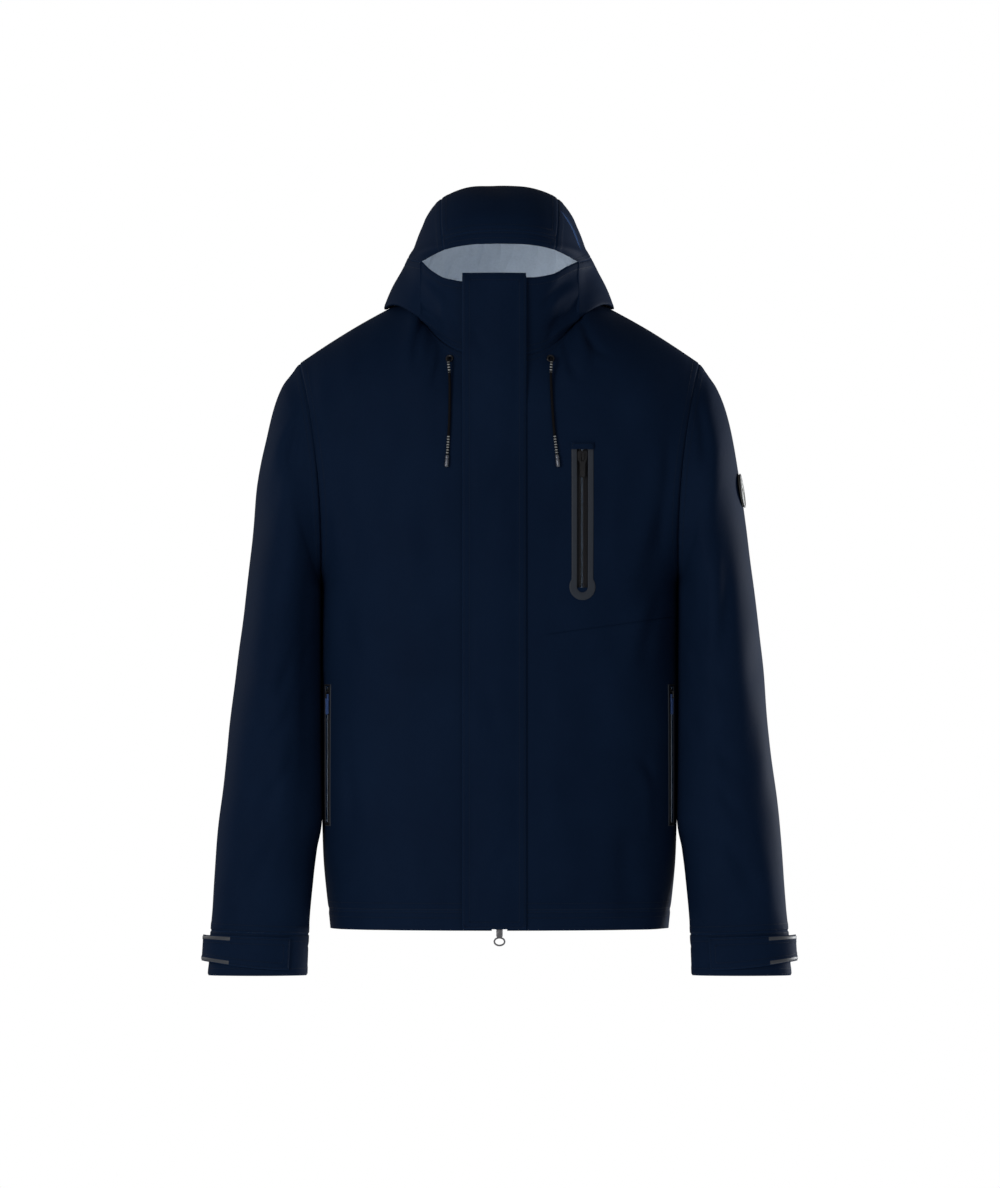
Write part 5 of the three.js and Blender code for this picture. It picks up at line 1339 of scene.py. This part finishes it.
def plastic_finish(name, dark, light, rough, metallic=0.0, scale=500.0):
    material, tree, shader = finish(name, light, rough, Metallic=metallic, Specular_IOR_Level=0.22)
    place = solid_place(tree)
    grain = noise(tree, place, scale, 3.0)
    scuffs = noise(tree, wire(tree, "Mapping", place, Scale=(1.0, 1.0, 5.0)), 160.0, 4.0, 0.7)
    rubbed = wire(tree, "MapRange", scuffs, 0.56, 0.72)
    base = blended(tree, grain, dark, light)
    paint(tree, shader, blended(tree, times(tree, rubbed, 0.35), base, tuple(c * 1.9 for c in light)))
    roughen(tree, shader, scaled(tree, rubbed, 0.16, rough - 0.04))
    raise_surface(tree, shader, times(tree, grain, 0.00003))
    return material


moulded_black = plastic_finish("moulded_black", (0.005, 0.005, 0.006), (0.011, 0.011, 0.013), 0.48)
gun_metal = plastic_finish("gun_metal", (0.20, 0.20, 0.21), (0.36, 0.36, 0.38), 0.26, metallic=1.0,
                           scale=900.0)


def repeated(shape, places):
    """Vertices and faces of a shape repeated at each (offset, mirrored) place."""
    vertices = np.array([v.co for v in shape.data.vertices])
    faces = [tuple(f.vertices) for f in shape.data.polygons]
    bpy.data.objects.remove(shape)
    all_vertices, all_faces = [], []
    for k, (offset, mirrored) in enumerate(places):
        moved = vertices * ((-1, 1, 1) if mirrored else (1, 1, 1)) + offset
        all_vertices.append(moved)
        start = k * len(vertices)
        all_faces += [tuple(start + i for i in (f[::-1] if mirrored else f)) for f in faces]
    return np.vstack(all_vertices), all_faces


def tooth():
    """One moulded tooth in millimetres: a body that grips the tape's edge, with a narrower head."""
    shape = primitive("cube", size=1.0, location=(0, 0, 0))
    edit_all()
    bpy.ops.transform.resize(value=(1.3, 2.7, 1.5), center_override=(0, 0, 0))
    select_faces(shape, lambda c, n: n.x < -0.9)
    bpy.ops.mesh.extrude_region_move(TRANSFORM_OT_translate={"value": (-1.0, 0, 0)})
    bpy.ops.transform.resize(value=(1, 0.82, 1.5), center_override=(-1.65, 0, 0))
    bpy.ops.object.mode_set(mode="OBJECT")
    with_modifier(shape, "BEVEL", width=0.22, segments=1, limit_method="NONE")
    return shape


def tape_with_teeth(name, node, side, shape, material, z0, z1, far, pitch, place, first):
    """A zip tape whose edge cord carries a row of teeth, as one piece with a material for each."""
    section = [(1.5, TAPE_MID - 0.75), (2.9, TAPE_MID - 0.75), (3.3, TAPE_MID - 0.4), (far, TAPE_MID - 0.35),
               (far, TAPE_MID + 0.3), (3.3, TAPE_MID + 0.35), (2.9, TAPE_MID + 0.75), (1.5, TAPE_MID + 0.75)]
    tape = strip_piece(name, [(side * x, out) for x, out in section], z0, z1, woven_tape, place, steps=90)
    count = int((z1 - z0) / pitch) - 1
    places = [(np.array([side * first, TAPE_MID, z0 + pitch * (k + 0.5 + (0.25 if side > 0 else 0.75))]),
               side < 0)
              for k in range(count)]
    vertices, faces = repeated(shape, places)
    row = mesh_piece(name + "_row", (place(vertices[:, 0], vertices[:, 1], vertices[:, 2]) + TO_ROW) / 1000,
                     faces, [material], {"Cloth": np.zeros((len(vertices), 2))}, sharp=35)
    tape.data.materials.append(material)
    only_active(tape)
    row.select_set(True)
    bpy.ops.object.join()
    tape.select_set(False)
    stand_for(tape, "jacket", "tape_black", node)


ZIP_FOOT, ZIP_HEAD = (HEM_Z + 3) * ALONG_ZIP, 27 * ALONG_ZIP
for side, name in SIDES:
    tape_with_teeth(f"main_zip_{name}_tape", f"main_zip_{name}", side, tooth(), moulded_black, ZIP_FOOT,
                    ZIP_HEAD, 13,
                    TOOTH_PITCH, on_zip, 2.1)
WIND_FLAP_OUT = -7.40
u, v = np.meshgrid(np.linspace(-24, 24, 18), np.linspace(HEM_Z + 6, 28, 90) * ALONG_ZIP)
wind = cloth("wind_flap_cloth", on_zip(u, WIND_FLAP_OUT, v), (0, 200, -330), {"u0": 0, "u1": 0},
             [grey_backing, grey_backing], thick=1.5,
             relief=-0.5 * ease(24 - np.abs(u), 3, 9) * (1 + np.sin(v / 37 + u / 12)) / 2, groove=0.2,
             ridge=0.0)
stand_for(wind, "jacket", "lining_grey", "inner_wind_flap")

EDGE_ROUND = 0.00035


def refined(node, name, body, material, slot):
    """A moulded or cast part with its edges rounded as the real one's are."""
    source = next(o for o in bpy.context.scene.objects if o.type == "MESH" and o.name.split(".")[0] == node)
    piece = bpy.data.objects.new(name, source.data.copy())
    piece.data.name = name
    piece.matrix_world = source.matrix_world.copy()
    bpy.context.scene.collection.objects.link(piece)
    only_active(piece)
    bpy.ops.object.transform_apply(location=True, rotation=True, scale=True)
    edit_all()
    bpy.ops.mesh.remove_doubles(threshold=0.00002)
    bpy.ops.mesh.dissolve_limited(angle_limit=math.radians(4))
    bpy.ops.object.mode_set(mode="OBJECT")
    with_modifier(piece, "BEVEL", width=EDGE_ROUND, segments=3, limit_method="ANGLE",
                  angle_limit=math.radians(40), use_clamp_overlap=True)
    piece.data.materials.clear()
    piece.data.materials.append(material)
    smooth(piece, 38)
    stand_for(piece, body, slot, node)


for node, body, material, slot in (
    ("main_zip_top_slider", "main_top_slider", moulded_black, "plastic_black"),
    ("main_zip_top_puller", "main_top_slider", moulded_black, "plastic_black"),
    ("main_zip_bottom_slider", "main_bottom_slider", gun_metal, "metal_dark"),
    ("main_zip_bottom_puller", "main_bottom_puller", gun_metal, "metal_dark"),
):
    refined(node, node.replace("_zip", "") + "_rounded", body, material, slot)

# ---- Pocket zips --------------------------------------------------------------------------------------
# Each pocket closes with a coil zip set in a slot and framed by a welt of bonded grey film. The chest zip's
# slider parks under a small garage of shell cloth. The hand pockets' pullers are ribbed blue rubber.
WELT_HALF, WELT_ROUND, HAND_WELT_HALF = 12.8, 15.5, 9.4


def film_finish():
    """Bonded reflective-grey film: very fine grain, with a faint embossed grid."""
    material, tree, shader = finish("bonded_film", (0.022, 0.027, 0.037), 0.5, Specular_IOR_Level=0.15)
    place = solid_place(tree)
    grain = noise(tree, place, 1200.0, 2.0)
    cells = wire(tree, "TexVoronoi", place, None, 1100.0)
    cloudy = noise(tree, place, 60.0, 3.0)
    base = blended(tree, cloudy, (0.018, 0.022, 0.031), (0.026, 0.032, 0.042))
    paint(tree, shader, blended(tree, times(tree, grain, 0.4), base, (0.036, 0.042, 0.055)))
    roughen(tree, shader, scaled(tree, cells, 0.3, 0.36))
    raise_surface(tree, shader, scaled(tree, cells, 0.00006, times(tree, grain, 0.00002)))
    return material


def rubber_finish():
    """Blue moulded rubber with ribs across it. The ribs' crests are painted lighter and their grooves darker:
    painted highlight and painted shade.
    """
    material, tree, shader = finish("blue_rubber", (0.028, 0.062, 0.19), 0.42, Specular_IOR_Level=0.5)
    place = solid_place(tree)
    height = wire(tree, "SeparateXYZ", place).node.outputs[2]
    rib = maths(tree, "SINE", times(tree, height, 2 * math.pi / 0.0022))
    grain = noise(tree, place, 800.0, 3.0)
    base = blended(tree, grain, (0.022, 0.050, 0.16), (0.036, 0.078, 0.225))
    # The blue is painted lighter on the rib crests and darker in the grooves: painted highlight and painted
    # shade.
    paint(tree, shader, blended(tree, scaled(tree, rib, 0.2, 0.2), base, (0.05, 0.11, 0.30)))
    roughen(tree, shader, scaled(tree, grain, 0.2, 0.34))
    raise_surface(tree, shader, scaled(tree, grain, 0.00003, times(tree, rib, 0.00012)))
    return material


bonded_film, blue_rubber = film_finish(), rubber_finish()


def coil_turn():
    """One visible turn of a coil in millimetres: a rounded bar that leans along the zip."""
    shape = primitive("uv_sphere", segments=8, ring_count=5, radius=1.0, location=(0, 0, 0))
    edit_all()
    bpy.ops.transform.resize(value=(1.35, 1.25, 0.5), center_override=(0, 0, 0))
    bpy.ops.object.mode_set(mode="OBJECT")
    for vertex in shape.data.vertices:
        vertex.co.z += 0.28 * vertex.co.x
    return shape


def on_surface(name, matrix, x, z, height):
    """A point of the front's outer face under (x, z) of a pocket's frame, raised by height. Millimetres."""
    x, z, height = np.broadcast_arrays(x, z, height)
    out = -np.array(matrix.to_3x3().col[1])
    tree, found = front_surface[name], np.empty((*x.shape, 3))
    for index in np.ndindex(x.shape):
        start = matrix @ Vector((x[index] / 1000, -0.03, z[index] / 1000))
        hit = tree.ray_cast(start, -Vector(out))[0]
        found[index] = np.array(hit if hit is not None else start + Vector(-out) * 0.03) * 1000
    return found + out * height[..., None]


def welt_outline(half, length, count, round_foot):
    """Inner and outer edges of a welt, point for point, round the slot from its head. Millimetres."""
    w, foot = ZIP_OPENING_HALF * 1000, -length
    if round_foot:
        sides = np.linspace(0, 1, count)
        centre = foot + 4
        drop = math.sqrt(WELT_ROUND**2 - half**2)
        start = math.atan2(drop, -half)
        sweep = np.linspace(start, math.pi * 3 - start, count)
        arc_out = np.stack([WELT_ROUND * np.cos(sweep), centre + WELT_ROUND * np.sin(sweep)], axis=1)
        sweep = np.linspace(math.pi, 2 * math.pi, count)
        arc_in = np.stack([w * np.cos(sweep), centre + w * np.sin(sweep)], axis=1)
        left_out = np.stack([np.full(count, -half), mix(0, centre + drop, sides)], axis=1)
        left_in = np.stack([np.full(count, -w), mix(-2, centre, sides)], axis=1)
        inner, outer = np.vstack([left_in[:-1], arc_in[:-1]]), np.vstack([left_out[:-1], arc_out[:-1]])
        right_out, right_in = left_out[::-1] * (-1, 1), left_in[::-1] * (-1, 1)
        inner, outer = np.vstack([inner, right_in[:-1]]), np.vstack([outer, right_out[:-1]])
        head = np.linspace(1, -1, 9)[:-1]
        inner = np.vstack([inner, np.stack([head * w, np.full(8, -2.0)], axis=1)])
        outer = np.vstack([outer, np.stack([head * half, np.zeros(8)], axis=1)])
        return inner, outer
    corners_in = [(-w, -2), (-w, foot + 4), (w, foot + 4), (w, -2)]
    corners_out = [(-half, 0), (-half, foot), (half, foot), (half, 0)]
    counts = [count * 2, 8, count * 2, 8]
    lines = []
    for corners in (corners_in, corners_out):
        line = []
        for (a, b, n) in zip(corners, corners[1:] + corners[:1], counts):
            t = np.linspace(0, 1, n + 1)[:-1, None]
            line.append(mix(np.array(a, float), np.array(b, float), t))
        lines.append(np.vstack(line))
    return lines


def welt(name, side, matrix, half, length, round_foot):
    inner, outer = welt_outline(half, length, 34, round_foot)
    shares = np.array([0.02, 0.0, 0.03, 0.09, 0.2, 0.5, 0.8, 0.93, 0.985, 1.0, 1.0, 0.6])
    heights = np.array([-1.7, 0.1, 0.62, 0.85, 0.92, 0.95, 0.92, 0.82, 0.55, 0.2, -0.5, -0.9])
    edge = mix(inner[:, None], outer[:, None], shares[None, :, None])
    p = on_surface(side, matrix, edge[..., 0], edge[..., 1], heights[None])
    rows, columns = p.shape[:2]
    at = np.arange(rows * columns).reshape(rows, columns)
    beyond = np.roll(at, -1, axis=0)
    ahead, ahead_beyond = np.roll(at, -1, axis=1), np.roll(beyond, -1, axis=1)
    faces = np.stack([at, beyond, ahead_beyond, ahead], axis=2).reshape(-1, 4)
    # On the hand welts, the inner half of the welt next to the slot takes the black moulded finish in place
    # of the film.
    black_inner_half = np.tile((np.arange(columns) >= 2) & (np.arange(columns) < (0 if round_foot else 6)), rows)
    piece = mesh_piece(f"{name}_film_welt", (p.reshape(-1, 3)) / 1000, faces, [bonded_film, moulded_black],
                       {"Cloth": edge.reshape(-1, 2) / 1000}, black_inner_half, sharp=60)
    face_out(piece)
    stand_for(piece, "jacket", "welt_grey", f"{name}_zip_welt")


def in_frame(matrix):
    """Places (x, out, z) of a pocket's frame, for tapes and teeth, in pattern millimetres."""
    m = np.array(matrix)

    def place(x, out, z):
        x, out, z = np.broadcast_arrays(x, out, z)
        local = point(x, -out, z)
        return local @ m[:3, :3].T + m[:3, 3] * 1000 - TO_ROW

    return place


for name, side, matrix, half, length, round_foot in (
    ("chest", "left", CHEST_FRAME, WELT_HALF, CHEST_ZIP_LONG * 1000, True),
    ("right_hand", "right", HAND_FRAMES["right"], HAND_WELT_HALF, HAND_ZIP_LONG * 1000, False),
    ("left_hand", "left", HAND_FRAMES["left"], HAND_WELT_HALF, HAND_ZIP_LONG * 1000, False),
):
    welt(name, side, matrix, half, length, round_foot)
    place = in_frame(matrix)
    for k in (-1, 1):
        tape_with_teeth(f"{name}_coil_{k}", f"{name}_zip_tape", k, coil_turn(), moulded_black, -length + 1, 0,
                        9.4, 1.3, place, 1.85)
    chest = name == "chest"
    refined(f"{name}_zip_slider", f"{name}_slider_rounded", f"{name}_slider", moulded_black, "plastic_black")
    refined(f"{name}_zip_puller", f"{name}_puller_rounded", f"{name}_puller",
            moulded_black if chest else blue_rubber, "plastic_black" if chest else "pull_blue")

x, z = np.meshgrid(np.linspace(-WELT_HALF - 1, WELT_HALF + 1, 22), np.linspace(-3.5, 5, 10))
edge = np.minimum(WELT_HALF + 1 - np.abs(x), 5 - z)
p = on_surface("left", CHEST_FRAME, x, z, 2.7 - 1.1 * (1 - ease(edge, 0, 2.2))) - TO_ROW
garage = cloth("zip_garage_cloth", p, BODY_CORE, {"u0": 0, "u1": 0, "v1": 0}, DOUBLED, thick=1.1)
stand_for(garage, "jacket", "shell_navy", "chest_zip_garage")

# ---- Pocket bags --------------------------------------------------------------------------------------
# Flat bags of light knitted mesh hang behind the fronts, taped to the laminate round each zip.
def mesh_cloth_finish():
    material, tree, shader = finish("knitted_mesh", (0.30, 0.35, 0.42), 0.8, Specular_IOR_Level=0.2)
    place = mapped(tree)
    cells = wire(tree, "TexVoronoi", place, None, 520.0)
    holes = maths(tree, "LESS_THAN", cells, 0.28)
    yarn = noise(tree, place, 1300.0, 2.0)
    base = blended(tree, yarn, (0.24, 0.28, 0.34), (0.36, 0.41, 0.49))
    # The holes are painted near black: painted shade for the dark seen through the mesh.
    paint(tree, shader, blended(tree, holes, base, (0.06, 0.07, 0.09)))
    roughen(tree, shader, scaled(tree, yarn, 0.2, 0.7))
    raise_surface(tree, shader, times(tree, cells, 0.0004))
    return material


knitted_mesh = mesh_cloth_finish()
CHEST_X, CHEST_TOP, HAND_X, HAND_TOP = 95.7, -159, 199, -434
for name, side, xs, zs in (
    ("chest", 1, (CHEST_X + 12, CHEST_X + 72), (CHEST_TOP - 187, CHEST_TOP - 7)),
    ("right_hand", -1, (62, HAND_X - 9), (HAND_TOP - 242, HAND_TOP - 6)),
    ("left_hand", 1, (62, HAND_X - 9), (HAND_TOP - 242, HAND_TOP - 6)),
):
    u, v = np.meshgrid(spaced(abs(xs[1] - xs[0]), 36), spaced(zs[1] - zs[0], 50))
    z = mix(*zs, v)
    p = on_arc(-1, z, arc_share(-1, z, mix(*xs, u)))
    p[..., 0] *= side
    inside = np.minimum(np.minimum(u, 1 - u), np.minimum(v, 1 - v) * 2)
    p = p - normals_of(p, BODY_CORE) * (4.4 + 2.2 * ease(inside, 0.05, 0.35))[..., None]
    bag = cloth(f"{name}_mesh_bag", p, BODY_CORE, {"u0": 0, "u1": 0, "v0": 0, "v1": 0},
                [knitted_mesh, knitted_mesh],
                thick=1.2, relief=-np.abs(waves(p[..., 0], p[..., 1], z, 60 + side, 2.0)) * ease(inside,
                                                                                                 0.0, 0.3))
    stand_for(bag, "jacket", "lining_grey", f"{name}_pocket_bag")

# ---- Sleeve badge -------------------------------------------------------------------------------------
# A round badge of moulded rubber, bonded to the left sleeve: a black rim and plain raised rings.
def badge_finish():
    material, tree, shader = finish("moulded_badge", (0.12, 0.12, 0.10), 0.5, Specular_IOR_Level=0.45)
    radius = wire(tree, "SeparateXYZ", mapped(tree, "Round"))
    height = radius.node.outputs[1]
    grain = noise(tree, solid_place(tree), 900.0, 3.0)
    face = blended(tree, grain, (0.12, 0.124, 0.109), (0.20, 0.20, 0.178))
    lines = maths(tree, "MAXIMUM", maths(tree, "COMPARE", radius, 0.0128, 0.0005),
                  maths(tree, "COMPARE", radius, 0.0078, 0.0004))
    face = blended(tree, lines, face, (0.015, 0.016, 0.018))
    rim = times(tree, maths(tree, "GREATER_THAN", radius, 0.0168), maths(
        tree, "GREATER_THAN", height, 0.0013))
    paint(tree, shader, blended(tree, rim, face, (0.010, 0.010, 0.012)))
    roughen(tree, shader, scaled(tree, grain, 0.2, 0.38))
    raise_surface(tree, shader, times(tree, grain, 0.00005))
    return material


badge = turned("ringed_badge", 0.0190, 0.0008, [
    (0.0200, 0.0006), (0.0200, 0.0008), (0.0193, 0.0004), (0.0174, 0.0001), (0.0168, -0.0006), (0.0140, 0.0),
    (0.0135, 0.0005), (0.0121, 0.0), (0.0116, -0.0005), (0.0090, 0.0), (0.0085, 0.0005), (0.0070, 0.0),
    (0.0065, -0.0004), (0.0030, 0.0), (0.0024, 0.0006), (0.0010, 0.0002)], badge_finish(), sides=56)
layer = badge.data.uv_layers.new(name="Round")
for loop in badge.data.loops:
    spot = badge.data.vertices[loop.vertex_index].co
    layer.data[loop.index].uv = (math.hypot(spot.x, spot.y), spot.z)
badge_out, badge_up = Vector((0.98465, -0.09339, 0.14747)), Vector((-0.16016, -0.14747, 0.97601))
set_down(badge, facing(Vector((0.28128, -0.08182, -0.24306)) - badge_out * 0.0012, badge_out, badge_up))
with_modifier(badge, "BEVEL", width=0.00012, segments=2, limit_method="ANGLE", angle_limit=math.radians(30))
smooth(badge, 40)
stand_for(badge, "left_sleeve", "badge_rubber", "sleeve_badge")

# ---- Hang loop ----------------------------------------------------------------------------------------
# A loop of woven tape inside the back of the neck, folded at its corners, for hanging the jacket on a peg.
low, high = (np.array(c) * 1000 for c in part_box("hang_loop"))
corner, thick = 2.4, 1.6
turn = np.linspace(0, math.pi / 2, 7)
centres = [(high[0] - corner, high[2] - corner, 0), (low[0] + corner, high[2] - corner, 1),
           (low[0] + corner, low[2] + corner, 2), (high[0] - corner, low[2] + corner, 3)]
path = np.vstack([np.stack([cx + corner * np.cos(turn + q * math.pi / 2),
                            cz + corner * np.sin(turn + q * math.pi / 2)], axis=1) for cx, cz, q in centres])
path = np.vstack([path, path[:1]])
run = np.concatenate([[0], np.cumsum(np.linalg.norm(np.diff(path, axis=0), axis=1))])
at = np.linspace(0, run[-1], 121)[:-1]
path = np.stack([np.interp(at, run, path[:, k]) for k in (0, 1)], axis=1)
way = np.roll(path, -1, axis=0) - np.roll(path, 1, axis=0)
inward = np.stack([-way[:, 1], way[:, 0]], axis=1) / np.linalg.norm(way, axis=1, keepdims=True)
section = [(0.3, 0), (7.7, 0), (8, 0.3), (8, 1.3), (7.7, thick), (0.3, thick), (0, 1.3), (0, 0.3)]
points = np.array([[(p[0] + n[0] * d, high[1] - 8 + y, p[1] + n[1] * d) for y, d in section]
                   for p, n in zip(path, inward)])
rows, columns = points.shape[:2]
faces = [(j * columns + i, j * columns + (i + 1) % columns, (j + 1) % rows * columns + (i + 1) % columns,
          (j + 1) % rows * columns + i) for j in range(rows) for i in range(columns)]
uv = np.array([[(y / 1000, a / 1000) for y, d in section] for a in at]).reshape(-1, 2)
loop = mesh_piece("woven_hang_loop", points.reshape(-1, 3) / 1000, faces, [woven_tape], {"Cloth": uv})
face_out(loop)
stand_for(loop, "jacket", "tape_black", "hang_loop")

# ---- Cloth sizes --------------------------------------------------------------------------------------
# Every panel is a sheet cut flat and sewn, and hangs from the shoulders, the neck seam or its own seam. The
# moulded tab ends, the brim's board and the zip's small garage are stiff, and aren't sheets.
STIFF = ("cuff_tab_tip", "brim_board", "zip_garage_cloth")
for piece in [o for o in bpy.context.scene.objects if o.type == "MESH" and "Seam" in o.data.uv_layers]:
    if not piece.name.endswith(STIFF):
        declare_sheet(piece)

# ---- Studio -------------------------------------------------------------------------------------------
# The jacket is shown as if worn, over a plain pale floor, lit softly from the front left with a rim light
# from the right, against a white backdrop.
def studio():
    scene = bpy.context.scene
    world = bpy.data.worlds.new("studio")
    scene.world = world
    world.use_nodes = True
    tree = world.node_tree
    background = tree.nodes["Background"]
    seen = wire(tree, "LightPath")
    share = scaled(tree, seen, 0.72, 0.28)
    tree.links.new(share, background.inputs["Strength"])
    background.inputs["Color"].default_value = (1.0, 1.0, 1.0, 1)
    scene.view_settings.view_transform = "Standard"
    aim = Vector((0, -0.08, -0.36))  # the middle of the jacket
    for name, at, size, power, color in (
        ("key", (-1.9, -2.8, -0.1), 1.6, 50.0, (1.0, 0.985, 0.96)),
        ("fill", (1.6, -2.9, -0.6), 1.8, 8.0, (0.94, 0.97, 1.0)),
        ("rim_right", (2.1, 1.25, -0.5), 1.0, 80.0, (0.96, 0.98, 1.0)),
        ("rim_left", (-2.1, 1.1, 0.0), 1.0, 14.0, (0.97, 0.98, 1.0)),
    ):
        lamp = bpy.data.lights.new(name, "AREA")
        lamp.shape, lamp.size, lamp.energy, lamp.color = "DISK", size, power, color
        holder = bpy.data.objects.new(name, lamp)
        holder.location = at
        holder.rotation_euler = (aim - Vector(at)).to_track_quat("-Z", "Y").to_euler()
        scene.collection.objects.link(holder)
        holder.visible_camera = False
    lamp = bpy.data.lights.new("hood_lamp", "AREA")
    lamp.shape, lamp.size, lamp.energy = "DISK", 0.09, 0.11
    holder = bpy.data.objects.new("hood_lamp", lamp)
    holder.location = (0.055, -0.150, 0.040)
    holder.rotation_euler = (math.radians(84), 0, math.radians(28))
    scene.collection.objects.link(holder)
    holder.visible_camera = False


studio()
FLOOR_SIZE, FLOOR_Z = 3.4, -1.5
floor = primitive("plane", size=FLOOR_SIZE, location=(0, 0, FLOOR_Z))
floor.name = "floor"
bpy.ops.object.transform_apply(location=True, rotation=True, scale=True)
floor_finish, tree, shader = finish("floor_paint", (0.86, 0.86, 0.86), 0.8)
speckle = noise(tree, solid_place(tree), 14.0, 4.0)
paint(tree, shader, blended(tree, speckle, (0.84, 0.84, 0.84), (0.88, 0.88, 0.88)))
floor.data.materials.append(floor_finish)
